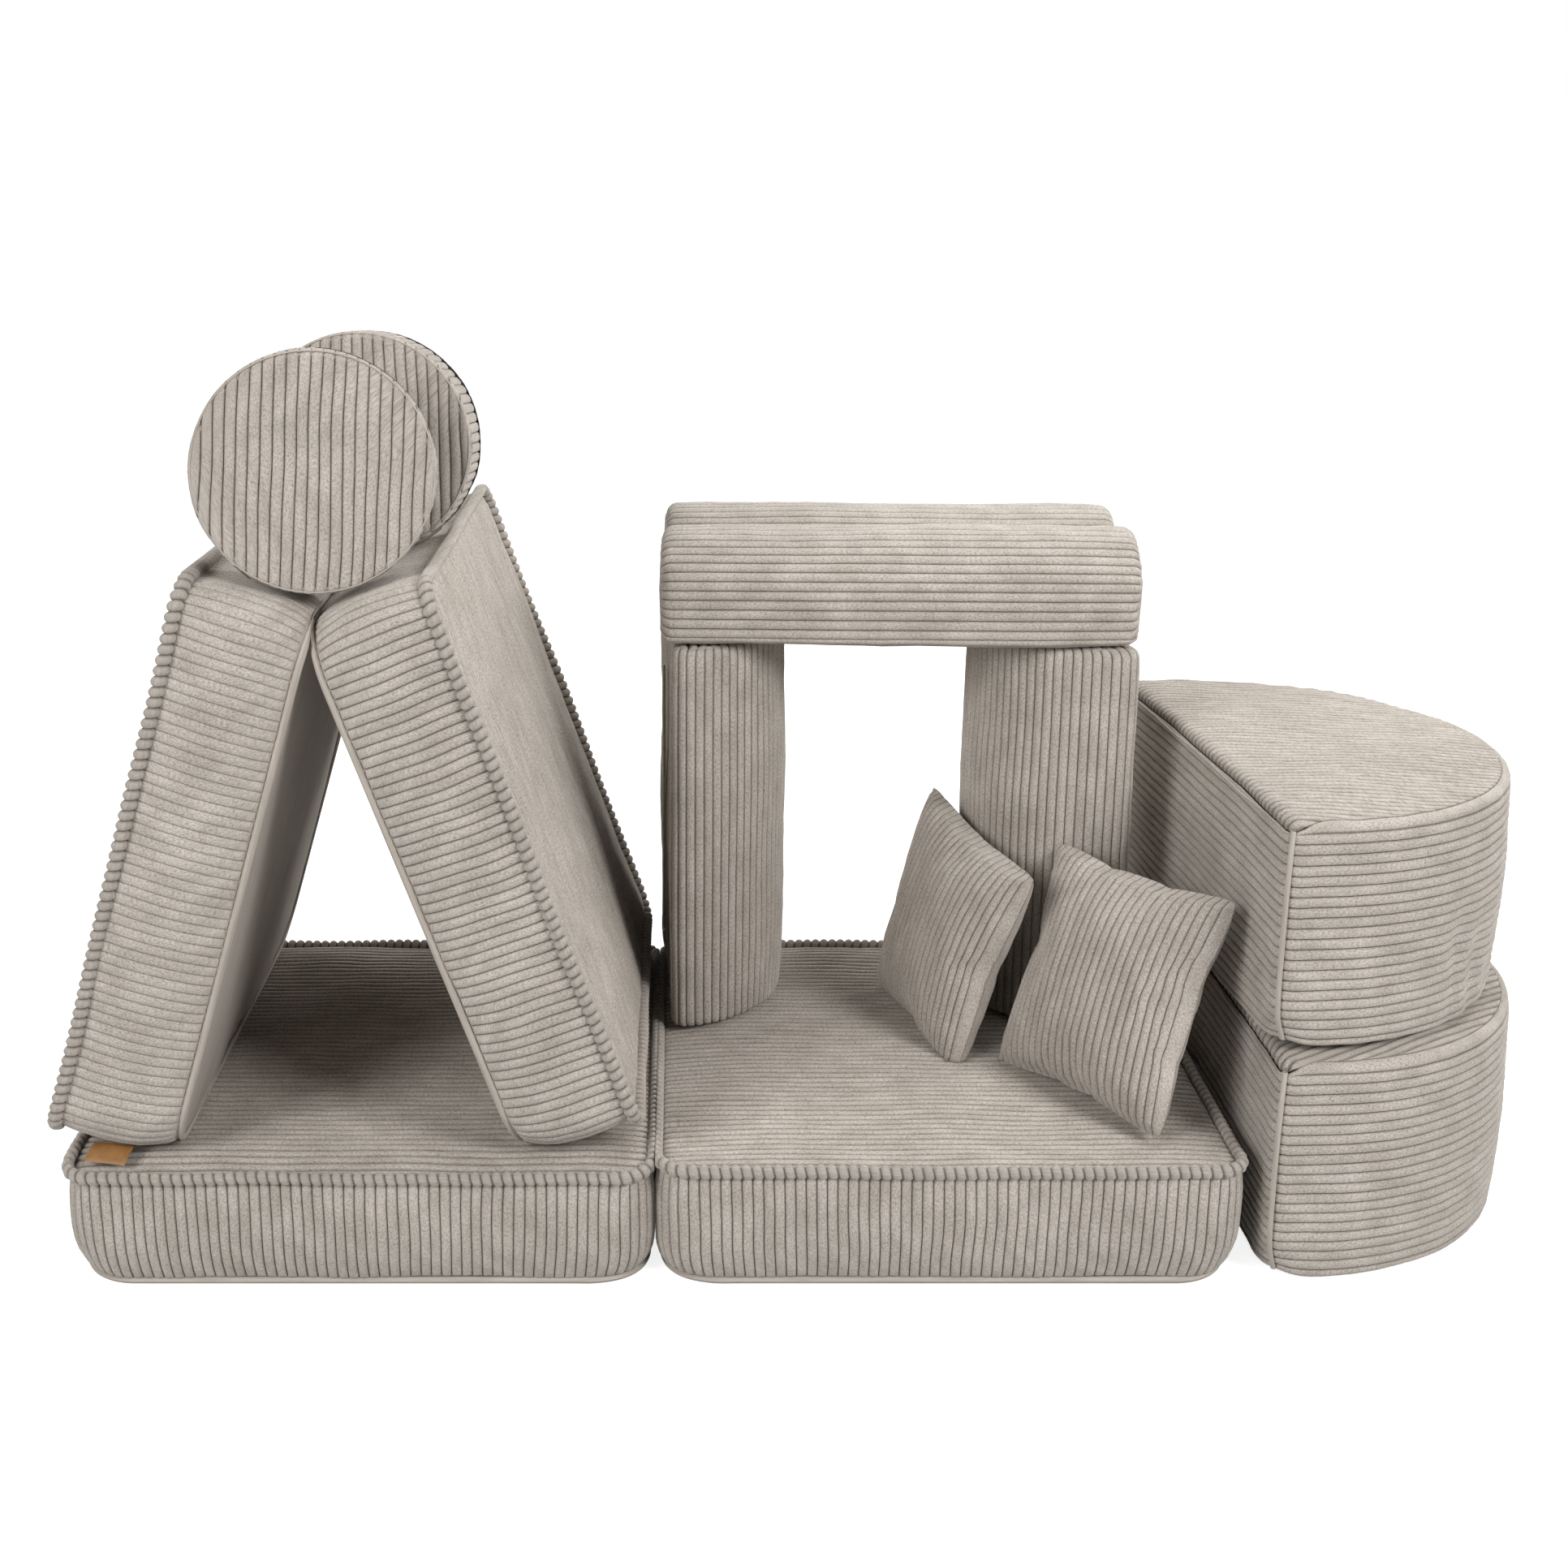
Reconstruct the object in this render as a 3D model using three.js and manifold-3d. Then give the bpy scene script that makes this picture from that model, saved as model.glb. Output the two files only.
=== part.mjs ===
// Modular foam play sofa: fourteen loose foam modules in zipped corduroy covers.
// Millimetres, +Z up, +X to the right along the row, +Y to the back.
import * as THREE from 'three';
import { mergeVertices } from 'three/addons/utils/BufferGeometryUtils.js';
import Module from 'manifold-3d';

const wasm = await Module();
wasm.setup();

// Driving sizes shared by all modules
const GAP = 0.3;
const COVER_WALL = 2.5;
const ZIP_WIDTH = 12;
const ZIP_DEPTH = 30;
const CORNER_STEPS = 3;
const ARC_STEPS = 12;
const CIRCLE_STEPS = 24;
const PILLOW_STEPS = 7;
const WELT_SIDES = 6;
const SEAT_HALVINGS = 22;

// Driving sizes of each kind of module
const MAT = {
  side: 716, bandTop: 151, crown: 9, proud: 7, taper: 12, draw: 2,
  cornerRadius: 40, footRadius: 80, weltRadius: 7, zipLength: 520,
};
const DISC = { radius: 141, thickness: 90, edge: 7, crown: 4, zipLength: 200 };
const COLUMN = {
  radius: 172, straight: 0, length: 553, edge: 14, crown: 0, bulge: 3, draw: 3, corner: 20,
  zipLength: 420,
};
const BEAM = {
  radius: 85, straight: 66, length: 650, edge: 8, crown: 4, bulge: 2, draw: 0, corner: 14,
  zipLength: 480,
};
const HALF_MOON = {
  radius: 330, straight: 67, length: 299, edge: 10, crown: 4, bulge: 4, draw: 4, corner: 12,
  zipLength: 300,
};
const PILLOW = { half: 149, thickness: 105, seam: 6, draw: 16, zipLength: 160 };
const TAG = {
  length: 54, width: 22, thickness: 1, fromSide: 49, fromFront: 30, turn: THREE.MathUtils.degToRad(-12),
};

// Shares that shape the soft bodies; soft stations are left out of inner surfaces
const MAT_BAND_SHARES = [
  { height: 0, taper: 1, proud: 0, foot: 1 },
  { height: 0.07, taper: 0.3, proud: 0, foot: 0.8, soft: true },
  { height: 0.3, taper: 0, proud: 0.8, foot: 0.4 },
  { height: 0.6, taper: 0, proud: 1, foot: 0.2 },
  { height: 0.9, taper: 0, proud: 0.3, foot: 0, soft: true },
  { height: 1, taper: 0, proud: 0, foot: 0 },
];
const MAT_CROWN_SHARES = [{ height: 0.7, spread: 0.95 }, { height: 1, spread: 0.8 }];
const SIDE_SHARES = [0.5];
const FLAT_SHARES = [0.5];
const FACE_SHARE = 0.6;
const ROUNDING_SHARE = 0.3;
const CORNER_LEAST_SHARE = 0.25;
const MAT_ZIP_SHARE = 0.45;
const PILLOW_ZIP_SHARE = 0.7;

// Where the modules stand in the row, each measured from the edge or the module that it stands by
const TENT = {
  back: 15, ridge: -29, overhang: 3, foot: 22,
  leftLean: THREE.MathUtils.degToRad(16.6), rightLean: THREE.MathUtils.degToRad(19.6),
};
const FRONT_DISC = {
  face: 37, aside: -4, roll: THREE.MathUtils.degToRad(3.5), yaw: THREE.MathUtils.degToRad(9),
};
const REAR_DISC = { face: 264, aside: 12, roll: 0, yaw: THREE.MathUtils.degToRad(-4) };
const LEFT_COLUMN = { fromSide: 10, fromBack: 159, turn: THREE.MathUtils.degToRad(3) };
const RIGHT_COLUMN = { fromSide: 121, fromBack: 162, turn: THREE.MathUtils.degToRad(195) };
const BEAMS = { overhang: 9, forward: 77, turn: THREE.MathUtils.degToRad(-1.5) };
const LOWER_HALF_MOON = { forward: 16, turn: THREE.MathUtils.degToRad(1.8) };
const UPPER_HALF_MOON = { aside: -22, back: 20, turn: THREE.MathUtils.degToRad(4.3) };
const REAR_PILLOW = {
  aside: -237, forward: 137, turn: THREE.MathUtils.degToRad(-69), tilt: THREE.MathUtils.degToRad(75),
  roll: THREE.MathUtils.degToRad(-4),
};
const FRONT_PILLOW = {
  aside: -59, forward: 362, turn: THREE.MathUtils.degToRad(-59), tilt: THREE.MathUtils.degToRad(68),
  roll: THREE.MathUtils.degToRad(3),
};

const CORDUROY = new THREE.MeshStandardMaterial({ color: 0xb9aea1, roughness: 0.95, metalness: 0 });
const FOAM = new THREE.MeshStandardMaterial({ color: 0xe8e4d6, roughness: 1, metalness: 0 });
const FIBRE = new THREE.MeshStandardMaterial({ color: 0xf2f1ec, roughness: 1, metalness: 0 });
const ZIP = new THREE.MeshStandardMaterial({ color: 0x9a9084, roughness: 0.6, metalness: 0.1 });
const LEATHER = new THREE.MeshStandardMaterial({ color: 0xb98445, roughness: 0.6, metalness: 0 });

const sofa = new THREE.Group();

// Outlines: closed rings of points, the same count whatever the inset

function arcPoints(centreX, centreY, radius, start, sweep, steps) {
  const points = [];
  for (let step = 0; step <= steps; step += 1) {
    const angle = start + (sweep * step) / steps;
    points.push(new THREE.Vector2(centreX + radius * Math.cos(angle), centreY + radius * Math.sin(angle)));
  }
  return points;
}

// Square with rounded corners whose sides draw in between the corners
function squareOutline(side, radius, draw, inset) {
  const points = [];
  const reach = side / 2 - radius;
  for (let corner = 0; corner < 4; corner += 1) {
    const start = (corner * Math.PI) / 2;
    const middle = new THREE.Vector2(reach, reach).rotateAround(new THREE.Vector2(), start);
    points.push(...arcPoints(middle.x, middle.y, radius - inset, start, Math.PI / 2, CORNER_STEPS));
    for (const share of SIDE_SHARES) {
      const depth = side / 2 - inset - draw * 4 * share * (1 - share);
      const along = reach * (1 - 2 * share);
      points.push(new THREE.Vector2(along, depth).rotateAround(new THREE.Vector2(), start));
    }
  }
  return points;
}

// Half round with a straight stretch behind it: the flat side lies on x = 0, the round faces +X
function halfRoundOutline(size, inset) {
  const radius = size.radius - inset;
  const corner = Math.max(size.corner - inset, size.corner * CORNER_LEAST_SHARE);
  const low = inset + corner;
  const reach = radius - corner;
  const lift = Math.asin(Math.max(low - size.straight, 0) / reach);
  const cornerY = reach * Math.cos(lift);
  const round = arcPoints(size.straight, 0, radius, lift - Math.PI / 2, Math.PI - 2 * lift, ARC_STEPS);
  const points = [
    ...arcPoints(low, -cornerY, corner, Math.PI, Math.PI / 2 + lift, CORNER_STEPS),
    ...(lift > 0 ? round.slice(1, -1) : round),
    ...arcPoints(low, cornerY, corner, Math.PI / 2 - lift, Math.PI / 2 + lift, CORNER_STEPS),
  ];
  for (const share of FLAT_SHARES) {
    const y = cornerY * (1 - 2 * share);
    points.push(new THREE.Vector2(inset + size.draw * 4 * share * (1 - share), y));
  }
  return points;
}

// Solids

// Closed body through rings of equal count, from the pole below to the pole above
function stackedBody(rings, lowPole, highPole) {
  const count = rings[0].length;
  const positions = [];
  const indices = [];
  for (const ring of rings) {
    for (const point of ring) {
      positions.push(point.x, point.y, point.z);
    }
  }
  for (let level = 0; level + 1 < rings.length; level += 1) {
    for (let i = 0; i < count; i += 1) {
      const a = level * count + i;
      const b = level * count + ((i + 1) % count);
      indices.push(a, b, b + count, a, b + count, a + count);
    }
  }
  const low = rings.length * count;
  const last = low - count;
  positions.push(lowPole.x, lowPole.y, lowPole.z, highPole.x, highPole.y, highPole.z);
  for (let i = 0; i < count; i += 1) {
    const next = (i + 1) % count;
    indices.push(low, next, i, low + 1, last + i, last + next);
  }
  return indexedGeometry(positions, indices);
}

function indexedGeometry(positions, indices) {
  const geometry = new THREE.BufferGeometry();
  geometry.setAttribute('position', new THREE.Float32BufferAttribute(positions, 3));
  geometry.setIndex(indices);
  return geometry;
}

function raise(outline, height, share = 1, centreX = 0) {
  return outline.map((p) => new THREE.Vector3(centreX + (p.x - centreX) * share, p.y * share, height));
}

// Mat: flat underside, band that bulges over a drawn-in foot, crowned top
function matBody(inset) {
  const { lerp } = THREE.MathUtils;
  const low = inset;
  const high = MAT.bandTop + MAT.crown - inset;
  const shown = MAT_BAND_SHARES.filter((share) => inset <= 0 || !share.soft);
  const rings = shown.map((share) => {
    const radius = lerp(MAT.cornerRadius, MAT.footRadius, share.foot);
    const taper = MAT.taper * share.taper - MAT.proud * share.proud;
    const outline = squareOutline(MAT.side, radius, MAT.draw, inset + taper);
    return raise(outline, lerp(low, MAT.bandTop - inset / 2, share.height));
  });
  const rim = squareOutline(MAT.side, MAT.cornerRadius, MAT.draw, inset);
  for (const share of MAT_CROWN_SHARES) {
    rings.push(raise(rim, lerp(MAT.bandTop - inset, high, share.height), share.spread));
  }
  return stackedBody(rings, new THREE.Vector3(0, 0, low), new THREE.Vector3(0, 0, high));
}

// Disc lying flat, crowned on both faces
function discBody(inset) {
  const edge = DISC.edge;
  const low = inset;
  const high = DISC.thickness - inset;
  const ring = (share, taper) => arcPoints(0, 0, (DISC.radius - inset - taper) * share, 0,
    2 * Math.PI, CIRCLE_STEPS).slice(0, CIRCLE_STEPS);
  const rings = [
    raise(ring(FACE_SHARE, edge), low),
    raise(ring(1, edge), low + DISC.crown),
    raise(ring(1, 0), low + DISC.crown + edge),
    raise(ring(1, 0), high - DISC.crown - edge),
    raise(ring(1, edge), high - DISC.crown),
    raise(ring(FACE_SHARE, edge), high),
  ];
  return stackedBody(rings, new THREE.Vector3(0, 0, low), new THREE.Vector3(0, 0, high));
}

// Half-round block standing on its end, with soft edges; lowCrown is 0 where that end rests flat
function halfRoundBody(size, lowCrown, inset) {
  const low = inset;
  const high = size.length - inset;
  const centreX = (size.radius + size.straight) / 2;
  const ring = (taper, height, share = 1) => (
    raise(halfRoundOutline(size, inset + taper), height, share, centreX));
  const rounding = size.edge * ROUNDING_SHARE;
  const soft = (level) => (inset > 0 ? [] : [ring(rounding, level)]);
  const rings = [
    ...(lowCrown > 0 ? [ring(size.edge, low, FACE_SHARE)] : []),
    ring(size.edge, low + lowCrown),
    ...soft(low + lowCrown + rounding),
    ring(0, low + lowCrown + size.edge),
    ring(-size.bulge, size.length / 2),
    ring(0, high - size.crown - size.edge),
    ...soft(high - size.crown - rounding),
    ring(size.edge, high - size.crown),
    ring(size.edge, high, FACE_SHARE),
  ];
  return stackedBody(rings, new THREE.Vector3(centreX, 0, low), new THREE.Vector3(centreX, 0, high));
}

// Pillow: two crowned panels joined at a thin seam, sides drawn in between pinched corners
function pillowBody(inset) {
  const scale = 1 - (2 * inset) / PILLOW.thickness;
  const point = (column, row, side) => {
    const u = (2 * column) / PILLOW_STEPS - 1;
    const v = (2 * row) / PILLOW_STEPS - 1;
    const x = PILLOW.half * u - PILLOW.draw * u * (1 - v * v);
    const y = PILLOW.half * v - PILLOW.draw * v * (1 - u * u);
    const fullness = Math.sqrt((1 - u * u) * (1 - v * v));
    const z = side * (PILLOW.seam / 2 + (PILLOW.thickness / 2 - PILLOW.seam / 2) * fullness);
    return [x * scale, y * scale, z * scale];
  };
  const positions = [];
  const indices = [];
  const row = PILLOW_STEPS + 1;
  for (const side of [-1, 1]) {
    for (let j = 0; j < row; j += 1) {
      for (let i = 0; i < row; i += 1) {
        positions.push(...point(i, j, side));
      }
    }
  }
  const above = row * row;
  for (let j = 0; j < PILLOW_STEPS; j += 1) {
    for (let i = 0; i < PILLOW_STEPS; i += 1) {
      const a = j * row + i;
      const b = a + 1;
      const c = b + row;
      const d = a + row;
      indices.push(a, c, b, a, d, c);
      indices.push(above + a, above + b, above + c, above + a, above + c, above + d);
    }
  }
  const steps = Array.from({ length: PILLOW_STEPS }, (_, k) => k);
  const rim = [
    ...steps,
    ...steps.map((k) => k * row + PILLOW_STEPS),
    ...steps.map((k) => row * row - 1 - k),
    ...steps.map((k) => (PILLOW_STEPS - k) * row),
  ];
  rim.forEach((a, k) => {
    const b = rim[(k + 1) % rim.length];
    indices.push(a, b, above + b, a, above + b, above + a);
  });
  return indexedGeometry(positions, indices);
}

// Welt cord round the mat's top edge, before the cover's own corner is cut out of it
function weltBody() {
  const path = squareOutline(MAT.side, MAT.cornerRadius, MAT.draw, MAT.weltRadius - MAT.proud);
  const positions = [];
  const indices = [];
  const count = path.length;
  path.forEach((point, k) => {
    const before = path[(k + count - 1) % count];
    const after = path[(k + 1) % count];
    const outward = new THREE.Vector2(after.y - before.y, before.x - after.x).normalize();
    for (let side = 0; side < WELT_SIDES; side += 1) {
      const angle = (side * 2 * Math.PI) / WELT_SIDES;
      const out = MAT.weltRadius * Math.cos(angle);
      const up = MAT.weltRadius * Math.sin(angle);
      positions.push(point.x + outward.x * out, point.y + outward.y * out, MAT.bandTop + up);
    }
  });
  for (let k = 0; k < count; k += 1) {
    for (let side = 0; side < WELT_SIDES; side += 1) {
      const turn = (side + 1) % WELT_SIDES;
      const a = k * WELT_SIDES + side;
      const b = k * WELT_SIDES + turn;
      const c = ((k + 1) % count) * WELT_SIDES + turn;
      const d = ((k + 1) % count) * WELT_SIDES + side;
      indices.push(a, d, c, a, c, b);
    }
  }
  return indexedGeometry(positions, indices);
}

// Booleans

function solidOf(geometry) {
  const bare = geometry.clone();
  bare.deleteAttribute('normal');
  bare.deleteAttribute('uv');
  const merged = mergeVertices(bare);
  return new wasm.Manifold(new wasm.Mesh({
    numProp: 3,
    vertProperties: new Float32Array(merged.attributes.position.array),
    triVerts: new Uint32Array(merged.index.array),
  }));
}

function geometryOf(solid) {
  const mesh = solid.getMesh();
  const geometry = indexedGeometry(Array.from(mesh.vertProperties), Array.from(mesh.triVerts));
  geometry.computeVertexNormals();
  return geometry;
}

// How far a solid can travel along a direction before it is a gap from the others
function travelToSeat(geometry, others, direction, reach) {
  let clear = 0;
  let blocked = reach;
  for (let halving = 0; halving < SEAT_HALVINGS; halving += 1) {
    const middle = (clear + blocked) / 2;
    const shift = direction.clone().multiplyScalar(middle + GAP);
    const solid = solidOf(geometry.clone().translate(shift.x, shift.y, shift.z));
    const hits = others.some((other) => solid.intersect(other).volume() > 0);
    if (hits) {
      blocked = middle;
    } else {
      clear = middle;
    }
  }
  return clear;
}

// Kinds of module: the body at any inset, and the box of its zip slit at any clearance

function zipSlit(size, place) {
  return (clearance) => {
    const box = size.clone().subScalar(2 * clearance);
    return new THREE.BoxGeometry(box.x, box.y, box.z).translate(place.x, place.y, place.z);
  };
}

const KINDS = {
  mat: {
    body: matBody, filling: 'foam_core', isMat: true,
    slit: zipSlit(new THREE.Vector3(MAT.zipLength, ZIP_DEPTH, ZIP_WIDTH),
      new THREE.Vector3(0, MAT.side / 2, MAT.bandTop * MAT_ZIP_SHARE)),
  },
  disc: {
    body: discBody, filling: 'foam_core',
    slit: zipSlit(new THREE.Vector3(DISC.zipLength, DISC.radius, ZIP_WIDTH),
      new THREE.Vector3(0, -DISC.radius, DISC.thickness / 2)),
  },
  column: {
    body: (inset) => halfRoundBody(COLUMN, 0, inset), filling: 'foam_core',
    slit: zipSlit(new THREE.Vector3(ZIP_DEPTH, ZIP_WIDTH, COLUMN.zipLength),
      new THREE.Vector3(0, 0, COLUMN.length / 2)),
  },
  beam: {
    body: (inset) => halfRoundBody(BEAM, BEAM.crown, inset), filling: 'foam_core',
    slit: zipSlit(new THREE.Vector3(ZIP_WIDTH, ZIP_DEPTH, BEAM.zipLength),
      new THREE.Vector3(BEAM.straight / 2, -BEAM.radius, BEAM.length / 2)),
  },
  half_moon: {
    body: (inset) => halfRoundBody(HALF_MOON, 0, inset), filling: 'foam_core',
    slit: zipSlit(new THREE.Vector3(HALF_MOON.zipLength, HALF_MOON.radius, ZIP_WIDTH), new THREE.Vector3(
      HALF_MOON.straight + HALF_MOON.zipLength / 2, HALF_MOON.radius, HALF_MOON.length / 2)),
  },
  pillow: {
    body: pillowBody, filling: 'fibre_fill',
    slit: zipSlit(new THREE.Vector3(PILLOW.zipLength, ZIP_WIDTH, PILLOW.thickness),
      new THREE.Vector3(0, -PILLOW.half * PILLOW_ZIP_SHARE, -PILLOW.thickness / 2)),
  },
};

// Makes a module at its place, seats it step by step, and fills it: cover with zip slit, filling, zip
const placed = {};
function addModule(name, kind, start, ...steps) {
  const { body, filling, slit, isMat } = KINDS[kind];
  const outer = body(0);
  const pose = start.clone();
  for (const { onto, along, reach } of steps) {
    const others = onto.map((other) => placed[other].whole);
    const travel = travelToSeat(outer.clone().applyMatrix4(pose), others, along, reach);
    pose.premultiply(new THREE.Matrix4().makeTranslation(along.clone().multiplyScalar(travel)));
  }
  const wall = solidOf(outer).subtract(solidOf(body(COVER_WALL)));
  const pieces = {
    cover: [geometryOf(wall.subtract(solidOf(slit(0)))), CORDUROY],
    [filling]: [body(COVER_WALL + GAP), filling === 'fibre_fill' ? FIBRE : FOAM],
    zip: [geometryOf(wall.intersect(solidOf(slit(GAP)))), ZIP],
  };
  if (isMat) {
    pieces.welt = [geometryOf(solidOf(weltBody()).subtract(solidOf(body(-GAP)))), CORDUROY];
  }
  const group = new THREE.Group();
  group.applyMatrix4(pose);
  group.updateMatrix();
  for (const [piece, [geometry, material]] of Object.entries(pieces)) {
    const mesh = new THREE.Mesh(geometry, material);
    mesh.name = `${name}_${piece}`;
    group.add(mesh);
  }
  sofa.add(group);
  const hull = solidOf(outer.clone().applyMatrix4(pose));
  const whole = isMat ? hull.add(solidOf(weltBody().applyMatrix4(pose))) : hull;
  placed[name] = { whole, group };
  return group;
}

function poseAt(x, y, z, ...turns) {
  const matrix = new THREE.Matrix4().makeTranslation(x, y, z);
  for (const turn of turns) {
    matrix.multiply(turn);
  }
  return matrix;
}

const DOWN = new THREE.Vector3(0, 0, -1);
const down = (onto, reach) => ({ onto, along: DOWN, reach });
const turnX = (angle) => new THREE.Matrix4().makeRotationX(angle);
const turnY = (angle) => new THREE.Matrix4().makeRotationY(angle);
const turnZ = (angle) => new THREE.Matrix4().makeRotationZ(angle);

// Base mats, side by side on the floor
const MAT_TOP = MAT.bandTop + MAT.crown;
const MAT_PITCH = MAT.side + 2 * MAT.proud + GAP;
const MAT_DEPTH = MAT.side + 2 * MAT.proud;
const MIDDLE_Y = MAT.side / 2;
addModule('left_base_mat', 'mat', poseAt(-MAT_PITCH / 2, MIDDLE_Y, 0));
addModule('right_base_mat', 'mat', poseAt(MAT_PITCH / 2, MIDDLE_Y, 0));

// Tent: two mats on edge, pressed flat against each other where their underside edges meet
const MAT_REACH = 2 * MAT_DEPTH;
const RIDGE_X = TENT.ridge - MAT_PITCH / 2;
const TENT_Y = MIDDLE_Y + TENT.back;
function addTentMat(name, side, lean, foot) {
  const turned = turnY(side * (Math.PI / 2 - lean));
  const box = new THREE.Box3().setFromBufferAttribute(matBody(0).applyMatrix4(turned).attributes.position);
  const x = side > 0 ? foot - box.max.x : foot - box.min.x;
  const pressedBody = (inset) => {
    const faceX = RIDGE_X - x + side * (GAP / 2 + inset);
    const press = new THREE.BoxGeometry(MAT_REACH, MAT_REACH, MAT_REACH)
      .translate(faceX - (side * MAT_REACH) / 2, 0, 0).applyMatrix4(turned.clone().invert());
    return geometryOf(solidOf(matBody(inset)).subtract(solidOf(press)));
  };
  KINDS[name] = { ...KINDS.mat, body: pressedBody };
  const pose = poseAt(x, TENT_Y, MAT_DEPTH + MAT_TOP, turned);
  addModule(name, name, pose, down(['left_base_mat'], MAT_DEPTH));
  const top = new THREE.Vector3((-side * MAT_DEPTH) / 2, 0, 0).applyMatrix4(placed[name].group.matrix);
  return { top, slope: side * Math.tan(lean) };
}
const leftTop = addTentMat('left_tent_mat', -1, TENT.leftLean, -MAT_PITCH - TENT.overhang);
const rightTop = addTentMat('right_tent_mat', 1, TENT.rightLean, -TENT.foot);

// Discs, on edge in the V over the ridge
const TENT_MATS = ['left_tent_mat', 'right_tent_mat'];
const VALLEY_X = (leftTop.top.z - rightTop.top.z + rightTop.slope * rightTop.top.x
  - leftTop.slope * leftTop.top.x) / (rightTop.slope - leftTop.slope);
const DISC_X = VALLEY_X + (DISC.radius * (Math.cos(TENT.rightLean) - Math.cos(TENT.leftLean)))
  / Math.sin(TENT.leftLean + TENT.rightLean);
function addDisc(name, place) {
  const pose = poseAt(DISC_X + place.aside, TENT_Y - MAT.side / 2 + place.face, MAT_DEPTH + MAT.side,
    turnZ(place.yaw), turnX(Math.PI / 2), turnZ(-place.roll),
    new THREE.Matrix4().makeTranslation(0, 0, -DISC.thickness));
  addModule(name, 'disc', pose, down(TENT_MATS, MAT.side));
}
addDisc('front_disc', FRONT_DISC);
addDisc('rear_disc', REAR_DISC);

// Columns, flat sides outward
const DROP = COLUMN.length / 2;
const MAT_BACK = MIDDLE_Y + MAT.side / 2;
function addColumn(name, x, place) {
  const y = MAT_BACK - place.fromBack;
  const pose = poseAt(x, y, MAT_TOP + DROP / 2, turnZ(place.turn));
  addModule(name, 'column', pose, down(['right_base_mat'], DROP));
  return new THREE.Vector2(x, y);
}
const leftColumn = addColumn('left_column', LEFT_COLUMN.fromSide, LEFT_COLUMN);
const rightColumn = addColumn('right_column', MAT_PITCH - RIGHT_COLUMN.fromSide, RIGHT_COLUMN);

// Beams, flat sides down across both columns
const BEAM_LIFT = MAT_TOP + COLUMN.length + DROP / 2;
const LENGTHWAYS = new THREE.Matrix4().makeBasis(
  new THREE.Vector3(0, 0, 1), new THREE.Vector3(0, -1, 0), new THREE.Vector3(1, 0, 0));
const COLUMNS = ['left_column', 'right_column'];
const BEAM_PITCH = 2 * (BEAM.radius + BEAM.bulge) + GAP;
function addBeam(name, behind) {
  const pose = poseAt(leftColumn.x - BEAMS.overhang, leftColumn.y - BEAMS.forward, BEAM_LIFT,
    turnZ(BEAMS.turn), new THREE.Matrix4().makeTranslation(0, behind, 0), LENGTHWAYS);
  addModule(name, 'beam', pose, down(COLUMNS, DROP));
}
addBeam('front_beam', 0);
addBeam('rear_beam', BEAM_PITCH);

// Half-moon blocks: the lower one pushed up to the right base mat, the upper one set down on it
const LEFT = new THREE.Vector3(-1, 0, 0);
const moonY = MIDDLE_Y - LOWER_HALF_MOON.forward;
const lowerMoon = addModule('lower_half_moon', 'half_moon',
  poseAt(MAT_PITCH + HALF_MOON.radius, moonY, 0, turnZ(LOWER_HALF_MOON.turn)),
  { onto: ['right_base_mat'], along: LEFT, reach: HALF_MOON.radius });
const moonX = new THREE.Vector3().setFromMatrixPosition(lowerMoon.matrix).x;
addModule('upper_half_moon', 'half_moon',
  poseAt(moonX + UPPER_HALF_MOON.aside, moonY + UPPER_HALF_MOON.back, HALF_MOON.length + DROP / 2,
    turnZ(UPPER_HALF_MOON.turn)),
  down(['lower_half_moon'], DROP));

// Pillows, set down on the mat and then pushed back until they lean on what stands behind them
function addPillow(name, place, behind) {
  const pose = poseAt(rightColumn.x + place.aside, rightColumn.y - place.forward,
    MAT_TOP + PILLOW.half + DROP / 2, turnZ(place.turn), turnX(place.tilt), turnZ(place.roll));
  const back = new THREE.Vector3(-Math.sin(place.turn), Math.cos(place.turn), 0);
  addModule(name, 'pillow', pose, down(['right_base_mat'], DROP), { onto: behind, along: back, reach: DROP });
}
addPillow('rear_pillow', REAR_PILLOW, ['right_column']);
addPillow('front_pillow', FRONT_PILLOW, ['right_column', 'upper_half_moon', 'lower_half_moon']);

// Leather tag on top of the left base mat, turned a little in its front left corner
const tagShape = new THREE.BoxGeometry(TAG.length, TAG.width, TAG.thickness).rotateZ(TAG.turn);
const tag = new THREE.Mesh(tagShape, LEATHER);
tag.name = 'left_base_mat_tag';
tag.position.set(TAG.fromSide - MAT.side / 2, TAG.fromFront - MAT.side / 2, MAT_TOP + TAG.thickness);
tag.position.z -= travelToSeat(tagShape.clone().translate(tag.position.x, tag.position.y, tag.position.z),
  [solidOf(matBody(0))], DOWN, MAT.crown);
placed.left_base_mat.group.add(tag);

// The row stands on the floor with its origin under the middle of its box
sofa.updateMatrixWorld(true);
const bounds = new THREE.Box3().setFromObject(sofa);
const middle = bounds.getCenter(new THREE.Vector3());
sofa.position.set(-middle.x, -middle.y, -bounds.min.z);
sofa.updateMatrixWorld(true);

export default sofa;
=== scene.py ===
"""Modular foam play sofa in wide-wale corduroy: the looks of the fourteen modules, round the CAD frame."""
from math import ceil, cos, pi, radians, sin

import bpy
import numpy as np
from mathutils import Matrix, Vector


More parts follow.
